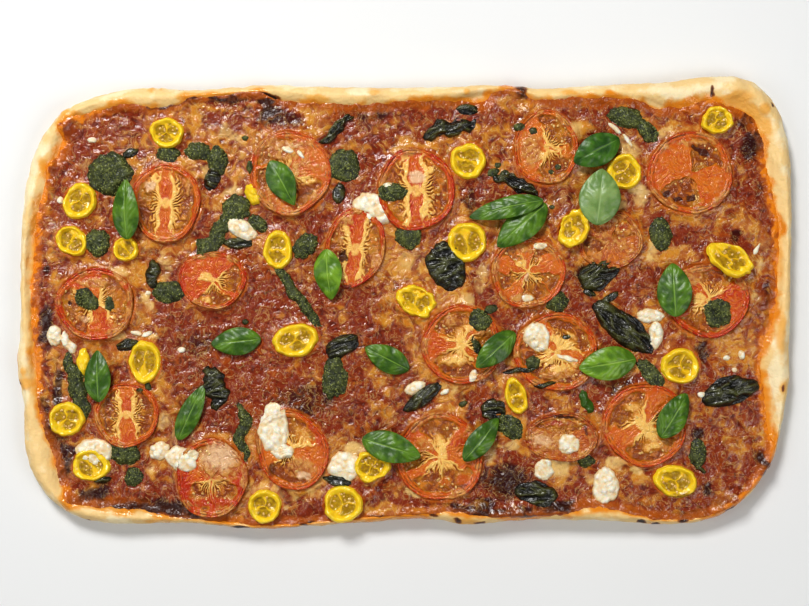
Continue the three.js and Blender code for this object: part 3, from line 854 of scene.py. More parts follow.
# Crust: where its rim is browned and charred.
BROWNED_RIM = Patch.groups({
    1: ((63, 112, 7, 4, -30), (467, 92, 3, 2), (733, 100, 15, 6, 10), (748, 112, 16, 6, -35),
        (727, 104, 11, 5, -10)),
    0.9: ((182, 98, 4, 2.4), (318, 99, 10, 3.4, -8), (764, 109, 5, 4.5), (15, 361, 2.4, 8), (25, 384, 8, 5),
        (24, 372, 3, 2.4), (467, 522, 11, 4), (764, 128, 6, 8)),
    0.8: ((151, 89, 3, 2.4), (375, 92, 5, 3), (500, 90, 6, 3), (570, 93, 8, 2.6), (760, 130, 5, 12),
        (151, 521, 5, 2.6), (783, 388, 3, 5)),
    0.7: ((161, 89, 2.4, 2), (303, 524, 5, 2), (779, 250, 4, 30), (781, 330, 4, 20)),
})
CHARRED_RIM = Patch.groups({
    1: ((180, 89, 1.4, 1.2), (267, 97, 10, 3, -12), (773, 104, 1.4, 1.2), (760, 466, 3.4, 12, 35),
        (643, 522, 3, 2.4), (656, 525, 3, 1.6), (87, 520, 1.6, 1.2), (240, 529, 7, 2)),
    # The narrow mark at 711, 92 is a thin dark line across the rim where it has a crease.
    0.9: ((711, 92, 1.8, 4.5), (683, 520, 4, 2.4), (731, 507, 5, 2.4, 30), (180, 514, 13, 3, -12)),
    0.8: ((57, 109, 3, 1.6), (303, 525, 3.4, 1.4), (457, 521, 3, 2.4), (434, 515, 3, 2), (480, 524, 4, 2)),
    0.75: ((521, 90, 6, 4),),
    0.7: ((18, 383, 2, 1.6), (783, 388, 1.2, 3)),
})

# Blisters of the rim: place in the photograph, radius and height in mm.
BLISTERS = (
    ((63, 111), 4.0, 1.2), ((151, 89), 2.6, 0.7), ((161, 89), 2.2, 0.6), ((467, 92), 2.2, 0.8),
    ((521, 89), 4.5, 1.2), ((764, 109), 4.2, 0.9), ((24, 372), 3.0, 0.8), ((314, 99), 4.5, 0.8),
    ((375, 92), 3.4, 0.6), ((500, 89), 3.6, 0.7), ((735, 88), 7.0, 0.9), ((780, 160), 6.0, 0.6),
)


@dataclass
class DoughBase:
    """Crust with its uneven rim, baked in a tray."""

    levels: int = 3
    swell: float = 0.55
    swell_size: float = 9.0
    grain: float = 0.16
    grain_size: float = 2.4
    streak_depth: float = 0.3
    stain_reach: float = 8.0
    seed: int = 3
    finish: DoughFinish = field(default_factory=DoughFinish)

    def _refined(self) -> Piece:
        """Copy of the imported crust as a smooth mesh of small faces."""
        net = bmesh.new()
        net.from_mesh(frame["nodes"]["crust"].data)
        bmesh.ops.remove_doubles(net, verts=net.verts, dist=0.01 * MM)
        bmesh.ops.join_triangles(
            net, faces=net.faces,
            angle_face_threshold=math.radians(50), angle_shape_threshold=math.radians(60),
        )
        mesh = bpy.data.meshes.new("crust_net")
        net.to_mesh(mesh)
        net.free()
        rough = placed("crust_net", mesh)
        smoothing = rough.modifiers.new("smoothing", "SUBSURF")
        smoothing.levels = self.levels
        smoothing.render_levels = self.levels
        smooth = evaluated_mesh(rough)
        bpy.data.objects.remove(rough)
        return placed("baked_crust", smooth)

    def _roughen(self, piece: Piece, grain: Grain) -> None:
        """Swells, streaks and blisters on the rim, with the underside left flat.

        Args:
            piece: The smooth crust, which is changed.
            grain: Noise of the dough.
        """
        points = points_of(piece)
        normals = np.zeros(len(points) * 3, np.float32)
        piece.data.vertices.foreach_get("normal", normals)
        normals = normals.reshape(-1, 3)
        around = np.arctan2(points[:, 1] * 1.7, points[:, 0])
        lift = points[:, 2] + 0.3 * np.hypot(*points[:, :2].T)
        along = columns(60 * np.cos(around), 60 * np.sin(around), lift)
        depth = self.swell * (grain.rough(points, self.swell_size, 2) - 0.35)
        depth += self.grain * grain.rough(points, self.grain_size, 2)
        depth -= self.streak_depth * ease(0.2, 0.6, grain.smooth(along, 3.1))
        for photo, radius, height in BLISTERS:
            x, y = from_photo(photo)
            away = np.hypot(points[:, 0] - x, points[:, 1] - y) / radius
            depth += height * np.clip(1 - away**2, 0, 1)
        depth *= ease(1.0, 4.0, points[:, 2])
        move_points(piece, points + normals * depth[:, None])

    def build(self, line: "SauceLine") -> Piece:
        """Makes the crust.

        Args:
            line: Where the sauce ends on the rim.

        Returns:
            The crust, painted and finished.
        """
        piece = self._refined()
        grain = Grain(self.seed)
        self._roughen(piece, grain)
        points = points_of(piece)
        x, y, z = points.T
        warp = 1.4 * columns(grain.smooth(points, 7), grain.smooth(points + 90, 7))
        wx, wy = x + warp[:, 0], y + warp[:, 1]
        inland = line.inland(wx, wy)
        broad = grain.rough(points, 16, 3)
        gold = np.maximum(cover_of(BROWNED_RIM, wx, wy), ease(-5, 1.5, inland + 4 * broad) * 0.8)
        gold = np.maximum(gold, ease(4.0, 1.0, z) * 0.3)
        char = cover_of(CHARRED_RIM, wx, wy) * ease(3.0, 8.0, z + broad)
        east = ease(-60, 60, x)
        stain = ease(-self.stain_reach * 0.6, 2.0, inland + (3 + 2 * east) * broad) * (0.75 + 0.25 * east)
        flour = np.clip(0.5 + 0.8 * broad, 0, 1) * ease(-1, -6, inland)
        paint(piece, "bake", gold, char, stain, flour)
        piece.data.materials.clear()
        piece.data.materials.append(self.finish.material())
        piece.data.polygons.foreach_set("use_smooth", np.ones(len(piece.data.polygons), bool))
        return piece


# Sauce and melted cheese: the edge of the sauce on the rim, counter-clockwise, in the photograph.
SAUCE_EDGE = (
    (37, 210), (32, 250), (29, 290), (30, 317), (32, 344), (35, 371), (37, 407), (44, 437), (54, 464),
    (60, 488), (67, 504), (94, 508), (134, 510), (174, 518), (230, 524), (270, 527), (324, 524), (364, 519),
    (427, 516), (453, 513), (500, 519), (554, 517), (600, 508), (637, 517), (683, 522), (734, 508),
    (767, 474), (776, 451), (772, 435), (768, 416), (764, 378), (763, 362), (767, 340), (778, 301),
    (780, 250), (778, 212), (767, 159), (762, 134), (750, 113), (722, 103), (710, 98), (683, 106),
    (655, 106), (631, 98), (561, 97), (534, 99), (514, 87), (495, 90), (480, 100), (444, 99), (400, 101),
    (344, 103), (282, 99), (257, 91), (230, 93), (189, 97), (174, 104), (153, 106), (129, 103), (107, 107),
    (75, 115), (57, 124), (61, 138), (58, 151), (46, 167), (43, 194),
)
BARE_SAUCE = Patch.groups({
    1: ((226, 98, 19, 5), (752, 145, 11, 16), (46, 325, 8, 14), (145, 506, 34, 9), (505, 483, 24, 17),
        (270, 111, 13, 7), (500, 510, 40, 5), (552, 508, 12, 6), (112, 508, 16, 5)),
    0.95: ((230, 365, 44, 26, 10), (310, 405, 44, 18)),
    0.9: ((122, 108, 17, 4), (760, 192, 8, 16), (47, 270, 4, 5), (49, 430, 7, 20), (66, 450, 5, 6),
        (700, 432, 6, 7), (708, 488, 7, 8), (250, 385, 34, 18), (220, 413, 14, 14), (435, 113, 18, 7),
        (222, 121, 13, 7), (396, 422, 14, 8)),
    0.8: ((357, 116, 18, 10), (420, 107, 13, 5), (735, 197, 6, 5), (240, 320, 26, 12), (483, 398, 9, 8),
        (582, 282, 9, 14), (690, 236, 9, 7), (708, 355, 8, 9), (598, 398, 9, 8), (310, 507, 10, 8),
        (372, 500, 11, 7), (470, 195, 9, 14), (58, 405, 6, 12), (618, 390, 16, 8, 35), (750, 412, 9, 10),
        (715, 422, 10, 9), (215, 124, 8, 6), (285, 122, 14, 6), (75, 158, 8, 6), (760, 475, 8, 12, 35),
        (480, 185, 10, 8), (602, 400, 9, 9), (686, 446, 9, 16)),
    0.7: ((60, 210, 7, 4), (390, 490, 34, 10), (735, 235, 7, 7), (180, 360, 18, 18), (200, 330, 24, 12),
        (77, 222, 8, 10), (200, 166, 10, 4), (770, 200, 6, 14), (765, 350, 5, 14), (350, 300, 9, 8),
        (680, 450, 8, 12), (90, 188, 7, 6), (66, 215, 6, 7), (126, 248, 7, 5), (282, 256, 5, 8),
        (356, 131, 9, 7), (482, 190, 12, 9), (408, 382, 8, 6), (540, 416, 8, 14), (570, 500, 14, 5)),
    0.6: ((370, 345, 20, 18), (512, 313, 5, 4), (85, 435, 10, 7), (150, 158, 12, 8), (110, 132, 10, 6),
        (690, 485, 12, 6), (390, 410, 14, 8), (350, 190, 10, 12, 40), (640, 490, 12, 6), (780, 295, 4, 10),
        (132, 126, 8, 5), (76, 236, 7, 6), (248, 228, 7, 6), (412, 132, 12, 6), (396, 279, 8, 8),
        (264, 412, 6, 9), (686, 488, 10, 8), (562, 204, 8, 6), (660, 336, 5, 8), (345, 200, 8, 8)),
    0.55: ((290, 300, 30, 18),),
    0.5: ((500, 115, 16, 8), (725, 415, 12, 12), (715, 470, 14, 9), (264, 182, 6, 9), (404, 216, 8, 6),
        (280, 428, 5, 9)),
    0.4: ((600, 120, 10, 6), (536, 134, 6, 8)),
    0.3: ((530, 205, 4, 3),),
})
DARK_SAUCE = Patch.groups({
    1: ((172, 510, 14, 6, -10), (150, 508, 22, 6), (130, 507, 26, 7)),
    0.95: ((46, 325, 6, 13),),
    0.9: ((226, 96, 18, 3), (47, 270, 3, 4), (698, 431, 4, 5), (707, 490, 5, 6), (268, 103, 10, 3),
        (762, 462, 4, 11, 35), (550, 510, 10, 4), (58, 390, 5, 20), (64, 470, 6, 18, -25),
        (90, 497, 16, 7, 25), (190, 512, 26, 6), (560, 508, 16, 5), (757, 142, 8, 12)),
    0.85: ((508, 482, 18, 13),),
    0.8: ((752, 148, 6, 9), (48, 430, 5, 18), (66, 450, 4, 5), (703, 350, 5, 5), (110, 108, 8, 2.4),
        (270, 111, 9, 5), (500, 513, 34, 4), (112, 510, 14, 4), (105, 506, 12, 5), (55, 440, 5, 14),
        (746, 118, 9, 6, 30)),
    0.7: ((582, 276, 6, 10), (735, 235, 4, 4), (690, 515, 16, 3), (460, 508, 10, 4), (523, 92, 7, 5),
        (755, 140, 7, 10), (60, 455, 6, 8), (62, 430, 5, 14), (764, 130, 6, 9), (485, 502, 10, 5)),
    0.6: ((622, 388, 12, 5, 35), (45, 405, 4, 8), (728, 108, 10, 4), (772, 292, 4, 12)),
    0.55: ((372, 112, 14, 6),),
    0.5: ((300, 400, 24, 12), (470, 198, 5, 9), (280, 118, 16, 5)),
    0.45: ((762, 190, 4, 9), (200, 345, 18, 9)),
})
PALE_CHEESE = Patch.groups({
    1: ((640, 190, 10, 5),),
    0.9: ((354, 450, 8, 6),),
    0.8: ((92, 140, 3, 2), (60, 200, 2.4, 2.4), (352, 468, 7, 9), (150, 335, 6, 3), (312, 476, 9, 8),
        (370, 472, 9, 8), (491, 453, 6, 8), (560, 465, 8, 9), (628, 152, 10, 10), (620, 206, 9, 4),
        (235, 190, 8, 5), (147, 298, 4, 7), (590, 204, 7, 5), (515, 203, 14, 4), (608, 172, 5, 6),
        (615, 462, 8, 5, -25), (636, 472, 7, 4), (414, 492, 8, 4), (685, 138, 12, 3), (148, 300, 4, 9)),
    0.7: ((207, 172, 5, 6), (510, 447, 8, 5), (575, 128, 7, 6), (664, 134, 7, 5), (235, 136, 6, 5),
        (195, 147, 5, 4), (336, 243, 4, 8), (468, 300, 6, 7), (485, 270, 6, 8), (655, 252, 5, 8),
        (120, 270, 9, 5), (120, 338, 8, 4), (163, 420, 5, 8), (585, 172, 8, 4), (758, 265, 5, 6),
        (757, 297, 4, 5)),
    0.6: ((225, 128, 8, 6), (480, 285, 7, 9), (548, 465, 6, 8), (265, 492, 20, 9), (626, 138, 8, 6, -30),
        (642, 200, 6, 6), (150, 470, 5, 4), (450, 390, 7, 5), (162, 262, 7, 7), (710, 396, 7, 5),
        (718, 136, 9, 4), (430, 303, 9, 4), (766, 245, 5, 8), (595, 205, 6, 5), (174, 440, 6, 8),
        (375, 225, 7, 7), (165, 272, 5, 8), (226, 486, 8, 5), (313, 487, 7, 9)),
    0.5: ((83, 160, 7, 6), (410, 262, 14, 11), (758, 250, 4, 5), (695, 215, 5, 5), (195, 440, 6, 6),
        (600, 480, 12, 7), (286, 497, 10, 12), (560, 200, 10, 5)),
    0.4: ((240, 150, 6, 14), (655, 242, 4, 7), (90, 470, 10, 6), (440, 310, 9, 5)),
    0.3: ((570, 195, 8, 8),),
})
MELTED_CHEESE = Patch.groups({
    0.9: ((492, 452, 9, 10), (182, 245, 12, 6), (292, 136, 14, 5), (312, 486, 12, 14), (366, 470, 12, 9),
        (486, 450, 9, 14), (550, 386, 16, 7), (758, 264, 8, 10), (756, 296, 7, 9), (735, 445, 16, 9)),
    0.8: ((668, 255, 22, 8), (130, 274, 14, 8), (148, 302, 5, 13), (125, 338, 14, 5), (163, 430, 9, 14),
        (765, 245, 8, 12), (625, 465, 18, 8), (312, 108, 14, 5), (338, 238, 5, 10), (426, 275, 9, 5),
        (424, 305, 9, 5), (442, 416, 14, 8), (582, 134, 12, 7), (690, 131, 26, 5), (750, 175, 9, 11),
        (728, 216, 16, 9), (648, 440, 10, 16), (642, 480, 9, 12), (562, 180, 12, 5), (640, 222, 9, 9)),
    0.7: ((333, 265, 8, 20), (728, 224, 12, 7), (405, 490, 16, 7), (450, 384, 20, 7), (600, 180, 30, 10, 30),
        (214, 201, 16, 6), (382, 368, 9, 6), (258, 368, 6, 8), (225, 484, 12, 8), (436, 474, 10, 6),
        (462, 384, 8, 8), (676, 346, 7, 16), (600, 166, 12, 8)),
    0.6: ((410, 265, 34, 26), (455, 288, 30, 12), (680, 345, 9, 14), (725, 345, 16, 8), (240, 140, 16, 12),
        (414, 340, 7, 12), (300, 356, 10, 9), (165, 455, 9, 22), (740, 350, 9, 9), (400, 512, 18, 5)),
    0.5: ((265, 495, 40, 14), (270, 372, 22, 10)),
    0.4: ((600, 200, 40, 26), (520, 230, 30, 20), (640, 300, 20, 24), (520, 430, 20, 12)),
    0.35: ((250, 140, 30, 22), (640, 490, 40, 14), (410, 420, 34, 16), (170, 470, 30, 14)),
    0.3: ((440, 130, 30, 10), (120, 230, 24, 30), (740, 300, 20, 40), (90, 270, 22, 20), (740, 430, 20, 26)),
})
ROASTED_SPOTS = Patch.groups({
    0.9: ((70, 132, 6, 6),),
    0.8: ((51, 170, 6, 12),),
    0.7: ((764, 300, 7, 20), (730, 503, 24, 8), (772, 400, 5, 24), (521, 95, 8, 5)),
    0.6: ((322, 122, 4, 3.4), (396, 112, 4, 3), (527, 111, 4, 3), (645, 282, 6, 5), (765, 215, 5, 20),
        (30, 280, 4, 50), (180, 98, 8, 3)),
    0.5: ((124, 125, 4, 3),),
    0.45: ((728, 455, 16, 14),),
})

# Bubbles of cheese: place in the photograph, radius and height in mm.
CHEESE_BUBBLES = (
    ((70, 132), 6.5, 1.6), ((98, 125), 3.6, 0.9), ((124, 125), 3.6, 0.9), ((50, 168), 4, 1.2),
    ((60, 168), 3, 1.0), ((52, 184), 3.6, 1.1), ((322, 122), 3.4, 0.9), ((396, 112), 3.4, 0.9),
    ((527, 111), 3.4, 0.9), ((138, 304), 3, 0.8), ((134, 322), 3.6, 0.9), ((257, 367), 4, 0.8),
    ((295, 378), 3, 0.7), ((335, 315), 2.4, 0.6), ((305, 390), 2.4, 0.6), ((292, 385), 2, 0.5),
    ((645, 282), 4.6, 1.1), ((728, 452), 9, 1.4), ((419, 252), 3, 0.8), ((408, 264), 2.6, 0.7),
    ((50, 316), 3.6, 1.0), ((764, 282), 4, 1.1), ((762, 300), 5, 1.2), ((766, 320), 4, 1.0),
    ((147, 495), 4.5, 1.1), ((310, 505), 4, 0.9), ((370, 498), 4.5, 0.9), ((735, 496), 6, 1.1),
    ((700, 508), 5, 1.0), ((518, 92), 4, 1.0), ((760, 205), 4.5, 1.0), ((738, 165), 4, 0.9),
)


class SauceLine:
    """Ragged edge of the sauce on the rim."""

    SEED = 17

    def __init__(self, edge: Sequence[Pair], spacing: float, wander: float) -> None:
        """Draws the edge through its places in the photograph.

        Args:
            edge: Places in the photograph, counter-clockwise.
            spacing: Distance between points along it in mm.
            wander: How far it strays to either side in mm.
        """
        corners = np.array([from_photo(photo) for photo in edge])
        curve = self._rounded(corners, 14)
        reach = np.hypot(*(np.roll(curve, -1, axis=0) - curve).T)
        travelled = np.concatenate([[0], np.cumsum(reach)])
        count = int(travelled[-1] / spacing)
        goal = np.arange(count) * travelled[-1] / count
        closed = np.vstack([curve, curve[:1]])
        points = columns(np.interp(goal, travelled, closed[:, 0]), np.interp(goal, travelled, closed[:, 1]))
        ahead = np.roll(points, -2, axis=0) - np.roll(points, 2, axis=0)
        inward = columns(-ahead[:, 1], ahead[:, 0]) / np.hypot(*ahead.T)[:, None]
        grain = Grain(self.SEED)
        flat = columns(points[:, 0], points[:, 1], 0)
        stray = grain.smooth(flat, 9) + 0.6 * grain.smooth(flat, 4) + 0.3 * grain.smooth(flat, 2.4)
        self.points = points + inward * (wander * stray)[:, None]
        self.tree = KDTree(count)
        for i, (x, y) in enumerate(self.points.tolist()):
            self.tree.insert((x, y, 0), i)
        self.tree.balance()

    @staticmethod
    def _rounded(corners: Array, steps: int) -> Array:
        """Smooth closed curve through the corners."""
        before, after, second = (np.roll(corners, shift, axis=0) for shift in (1, -1, -2))
        share = (np.arange(steps) / steps)[None, :, None]
        p0, p1, p2, p3 = (p[:, None, :] for p in (before, corners, after, second))
        curve = 2 * p1 + (p2 - p0) * share + (2 * p0 - 5 * p1 + 4 * p2 - p3) * share**2
        curve = 0.5 * (curve + (3 * p1 - p0 - 3 * p2 + p3) * share**3)
        return curve.reshape(-1, 2)

    def nearest(self, x: Array, y: Array) -> tuple[Array, Array]:
        """Distance in mm to the nearest point of the line and the number of that point, for places in mm."""
        found = [self.tree.find((px, py, 0)) for px, py in zip(x.tolist(), y.tolist())]
        return np.array([f[2] for f in found]), np.array([f[1] for f in found])

    def inside(self, x: Array, y: Array) -> Array:
        """Whether places lie within the line."""
        ends = self.points[::3]
        ax, ay = ends.T
        bx, by = np.roll(ends, -1, axis=0).T
        rise = np.where(by == ay, 1e-9, by - ay)
        within = np.zeros(len(x), bool)
        for start in range(0, len(x), 8000):
            part = slice(start, start + 8000)
            px, py = x[part, None], y[part, None]
            spans = (ay > py) != (by > py)
            cross = px < (bx - ax) * (py - ay) / rise + ax
            within[part] = (spans & cross).sum(axis=1) % 2 == 1
        return within

    def inland(self, x: Array, y: Array) -> Array:
        """Distance in mm from the line towards the middle, below 0 outside it."""
        distance = self.nearest(x, y)[0]
        return np.where(self.inside(x, y), distance, -distance)


@dataclass
class MeltedBed:
    """Tomato sauce and melted cheese over the whole crust."""

    cell: float = 1.15
    film: float = 1.2
    skirt: float = 1.5
    inset: float = 11.0
    bottom: float = 8.3
    meniscus: float = 1.6
    meniscus_reach: float = 2.8
    relief_seed: int = 29
    looks_seed: int = 41
    finish: BedFinish = field(default_factory=BedFinish)

    def _sheet(self, line: SauceLine) -> tuple[Array, Array, Array]:
        """Grid of square faces cut to the sauce line.

        Args:
            line: Edge of the sauce.

        Returns:
            Places in mm, distance of each from the line, and the faces.
        """
        low = line.points.min(axis=0) - self.cell
        high = line.points.max(axis=0) + self.cell
        xs, ys = (np.arange(low[k], high[k] + self.cell, self.cell) for k in range(2))
        x, y = (g.ravel() for g in np.meshgrid(xs, ys))
        distance, nearest = line.nearest(x, y)
        inland = np.where(line.inside(x, y), distance, -distance)
        index = np.arange(len(x)).reshape(len(ys), len(xs))
        corners = np.stack([index[:-1, :-1], index[:-1, 1:], index[1:, 1:], index[1:, :-1]], axis=-1)
        corners = corners.reshape(-1, 4)
        kept = corners[inland[corners].mean(axis=1) > 0]
        uses = np.bincount(kept.ravel(), minlength=len(x))
        brink = (uses > 0) & (uses < 4)
        x[brink], y[brink] = line.points[nearest[brink]].T
        inland[brink] = 0
        used = np.flatnonzero(uses)
        renumber = np.zeros(len(x), int)
        renumber[used] = np.arange(len(used))
        return columns(x[used], y[used]), inland[used], renumber[kept]

    def _heights(self, x: Array, y: Array, inland: Array, crust: Ground, slices: Sequence[Oval]) -> Array:
        """Height of the layer's top.

        Args:
            x: Places along x in mm.
            y: Places along y in mm.
            inland: Distance of each place from the sauce line.
            crust: The crust below.
            slices: Tomato slices that stand in the layer.

        Returns:
            Heights in mm.
        """
        grain = Grain(self.relief_seed)
        flat = columns(x, y, 0)
        below = np.full(len(x), FLOOR_LEVEL)
        near = inland < 17
        below[near] = crust.height(x[near], y[near], FLOOR_LEVEL)
        over = below + mix(-0.3, self.film, ease(0, 3.2, inland))
        wave = bed_wave(x, y) - 4 * ease(7, 0, inland)
        gap = over - wave
        height = 0.5 * (over + wave + np.sqrt(gap**2 + 0.8 * ease(0, 4, inland)))
        relief = 0.34 * grain.rough(flat, 9, 3) + 0.22 * grain.smooth(flat, 2.6)
        relief += 0.42 * grain.bubbles(flat, 7.5, 0.55) + 0.3 * grain.bubbles(flat + 50, 4.2, 0.5)
        clear = clearance(slices, x, y)
        relief *= ease(-2.5, 1.5, clear)
        for photo, radius, rise in CHEESE_BUBBLES:
            bx, by = from_photo(photo)
            away = np.hypot(x - bx, y - by) / radius
            relief += rise * np.sqrt(np.clip(1 - away**2, 0, 1)) * ease(-1, 2, clear)
        lap = self.meniscus * (0.9 + 0.7 * grain.smooth(flat + 80, 16))
        rise = lap * np.exp(-((np.clip(clear, 0, None) / self.meniscus_reach) ** 2)) * (clear > -1.5)
        return height + (relief + rise) * ease(0, 3.0, inland)

    def _close(self, piece: Piece) -> None:
        """Turns the sheet down into the crust at its edge and closes its underside."""
        net = bmesh.new()
        net.from_mesh(piece.data)
        brink = [edge for edge in net.edges if edge.is_boundary]
        out = bmesh.ops.extrude_edge_only(net, edges=brink)["geom"]
        for vert in (g for g in out if isinstance(g, bmesh.types.BMVert)):
            vert.co.z -= self.skirt * MM
        lower = [g for g in out if isinstance(g, bmesh.types.BMEdge)]
        out = bmesh.ops.extrude_edge_only(net, edges=lower)["geom"]
        for vert in (g for g in out if isinstance(g, bmesh.types.BMVert)):
            reach = math.hypot(vert.co.x, vert.co.y)
            for k in range(2):
                vert.co[k] -= math.copysign(min(self.inset * MM, reach), vert.co[k]) * abs(vert.co[k]) / reach
            vert.co.z = self.bottom * MM
        lowest = [g for g in out if isinstance(g, bmesh.types.BMEdge)]
        bmesh.ops.holes_fill(net, edges=lowest, sides=0)
        bmesh.ops.recalc_face_normals(net, faces=net.faces)
        for face in net.faces:
            face.smooth = True
        net.to_mesh(piece.data)
        net.free()

    def build(self, line: SauceLine, crust: Piece, slices: Sequence[Oval]) -> Piece:
        """Makes the layer.

        Args:
            line: Edge of the sauce.
            crust: The finished crust.
            slices: Tomato slices that stand in the layer.

        Returns:
            The layer, painted and finished.
        """
        places, inland, faces = self._sheet(line)
        x, y = places.T
        points = columns(x, y, self._heights(x, y, inland, Ground(crust), slices))
        piece = make_piece("sauce_and_cheese", points, faces.tolist(), self.finish.material())
        self._close(piece)
        self._paint(piece, line, slices)
        return piece

    def _paint(self, piece: Piece, line: SauceLine, slices: Sequence[Oval]) -> None:
        """Paints where the cheese is thick, browned, pale or missing.

        Args:
            piece: The finished layer.
            line: Edge of the sauce.
            slices: Tomato slices that stand in the layer.
        """
        points = points_of(piece)
        grain = Grain(self.looks_seed)
        flat = columns(points[:, 0], points[:, 1], 0)
        stray = 3.0 * columns(grain.smooth(flat, 14), grain.smooth(flat + 70, 14))
        stray += 1.4 * columns(grain.smooth(flat, 5), grain.smooth(flat + 70, 5))
        x, y = flat[:, 0] + stray[:, 0], flat[:, 1] + stray[:, 1]
        inland = line.inland(flat[:, 0], flat[:, 1])
        broad, middle = grain.rough(flat + 11, 20, 2), grain.rough(flat + 37, 6, 3)
        clear = clearance(slices, flat[:, 0], flat[:, 1])
        cheese = 0.4 + 0.62 * broad + 0.4 * middle + 0.55 * cover_of(MELTED_CHEESE, x, y)
        cheese -= 0.85 * cover_of(BARE_SAUCE, x, y)
        dark = cover_of(DARK_SAUCE, x, y) + 0.25 * np.clip(broad - 0.1, 0, 1)
        shore = ease(9, 2, inland + 3 * broad)
        ends = ease(150, 195, np.abs(flat[:, 0]))
        drift = ease(0.0, 0.45, grain.smooth(flat + 60, 17))
        dark = np.maximum(dark, ease(5.5, 1.0, inland) * drift * 0.9 * (1 - ends))
        roast = np.maximum(cover_of(ROASTED_SPOTS, x, y), shore * 0.55 * (1 - 0.7 * ends))
        fat = ease(5, 1, inland + 4 * middle) * (0.1 + 0.9 * ends)
        fat *= ease(0.5, 0.1, cover_of(DARK_SAUCE, x, y))
        pale = cover_of(PALE_CHEESE, x, y) + 0.35 * ease(0.35, 0.9, middle)
        oil = np.maximum(ease(2.6, 0, np.abs(clear)), 0.9 * shore)
        paint(piece, "bake", cheese, dark, roast, pale)
        paint(piece, "juices", oil, fat)


# Slices.
@dataclass(frozen=True)
class RedSlice(Oval):
    """Red tomato slice: tone, direction and half width of chambers in degrees, core's reach, cheese film."""

    tone: Tone = Tone.ORANGE
    chambers: tuple[Pair, ...] = ((0, 55), (180, 55))
    core: float = 0.3
    film: float = 0.0


RED_SLICES = RedSlice.rows(
    (166, 203, 20.5, 23.5, 0, Tone.ORANGE, ((0, 67), (180, 69)), 0.36, 0.05),
    (290, 173, 24, 25, 0, Tone.ORANGE, ((-50, 34), (125, 40), (200, 26)), 0.24, 0.4),
    (416, 190, 22.8, 24.5, 0, Tone.RED, ((0, 70), (185, 68)), 0.38, 0.0),
    (546, 148, 19, 22, 0, Tone.ORANGE, ((50, 50), (-60, 45)), 0.2, 0.25),
    (690, 173, 25.2, 24.4, 0, Tone.ORANGE, ((50, 34), (-110, 40)), 0.06, 0.0),
    (96, 304, 23, 21.5, 0, Tone.RED, ((15, 60), (200, 55)), 0.26, 0.1),
    (213, 280, 20, 17, 0, Tone.RED, ((-85, 34), (0, 34)), 0.22, 0.0),
    (355, 248, 17.5, 24, -12, Tone.RED, ((5, 68), (190, 66)), 0.4, 0.05),
    (528, 272, 22, 21.5, 0, Tone.ORANGE, ((-75, 34), (-20, 14), (60, 14), (130, 16), (200, 18)), 0.16, 0.15),
    (610, 240, 19, 17.5, 0, Tone.DULL, ((40, 30), (200, 30)), 0.05, 0.45),
    (462, 345, 23.5, 23.5, 0, Tone.ORANGE, ((110, 44), (-105, 46), (10, 30)), 0.18, 0.1),
    (556, 352, 25, 23, 0, Tone.ORANGE, ((55, 50), (-90, 50), (180, 26)), 0.24, 0.15),
    (708, 300, 24.5, 22, 0, Tone.RED, ((-95, 48), (75, 40)), 0.22, 0.1),
    (127, 415, 19, 19, 0, Tone.ORANGE, ((5, 66), (175, 68)), 0.36, 0.0),
    (212, 478, 21, 23.5, 0, Tone.RED, ((-45, 34), (-130, 34), (90, 40)), 0.16, 0.1),
    (292, 450, 20.5, 24.5, 28, Tone.ORANGE, ((48, 52), (228, 45)), 0.22, 0.1),
    (440, 457, 25.5, 26, 0, Tone.ORANGE, ((92, 34), (-55, 30), (-110, 30), (180, 20)), 0.2, 0.0),
    (562, 437, 21.5, 14.5, 0, Tone.DULL, ((90, 60),), 0.08, 0.55),
    (645, 425, 25, 24.5, 0, Tone.ORANGE, ((135, 44), (-75, 48), (20, 26)), 0.2, 0.0),
)

# What lies on the red slices or was burnt into them, and holes in them, which are painted dark as shade.
FILM_ON_SLICES = Patch.groups({
    1: ((531, 150, 8, 13), (523, 298, 10, 4), (690, 276, 12, 6), (222, 460, 17, 16), (302, 468, 10, 8),
        (552, 441, 18, 8), (292, 145, 18, 3.6), (120, 275, 10, 4, -40)),
    0.9: ((284, 153, 15, 6), (552, 181, 13, 4), (97, 283, 13, 4), (377, 262, 4, 8), (530, 330, 8, 7),
        (150, 187, 5, 5), (610, 218, 10, 3.4)),
    0.8: ((188, 188, 3, 7), (268, 190, 7, 5), (346, 221, 6, 5), (525, 249, 13, 3.6), (452, 322, 9, 5),
        (484, 326, 6, 8), (130, 300, 3, 10), (340, 238, 4, 7)),
    0.7: ((316, 196, 6, 6), (612, 242, 17, 7, -20), (556, 376, 15, 3), (424, 446, 8, 6), (622, 205, 10, 4),
        (690, 143, 14, 2.6)),
})
PALE_ON_SLICES = Patch.groups({
    1: ((417, 177, 6.4, 5.4),),
    0.9: ((528, 277, 1.8, 3.6), (192, 455, 3, 3), (304, 475, 6, 3)),
    0.8: ((150, 186, 4.6, 4), (183, 462, 3, 5)),
    0.75: ((220, 456, 14, 12),),
    0.7: ((566, 358, 5, 2, -22),),
    0.6: ((541, 440, 10, 5), (85, 319, 4, 3)),
    0.5: ((541, 335, 7, 7), (292, 146, 12, 2.4), (608, 220, 8, 3)),
    0.3: ((296, 165, 8, 4),),
})
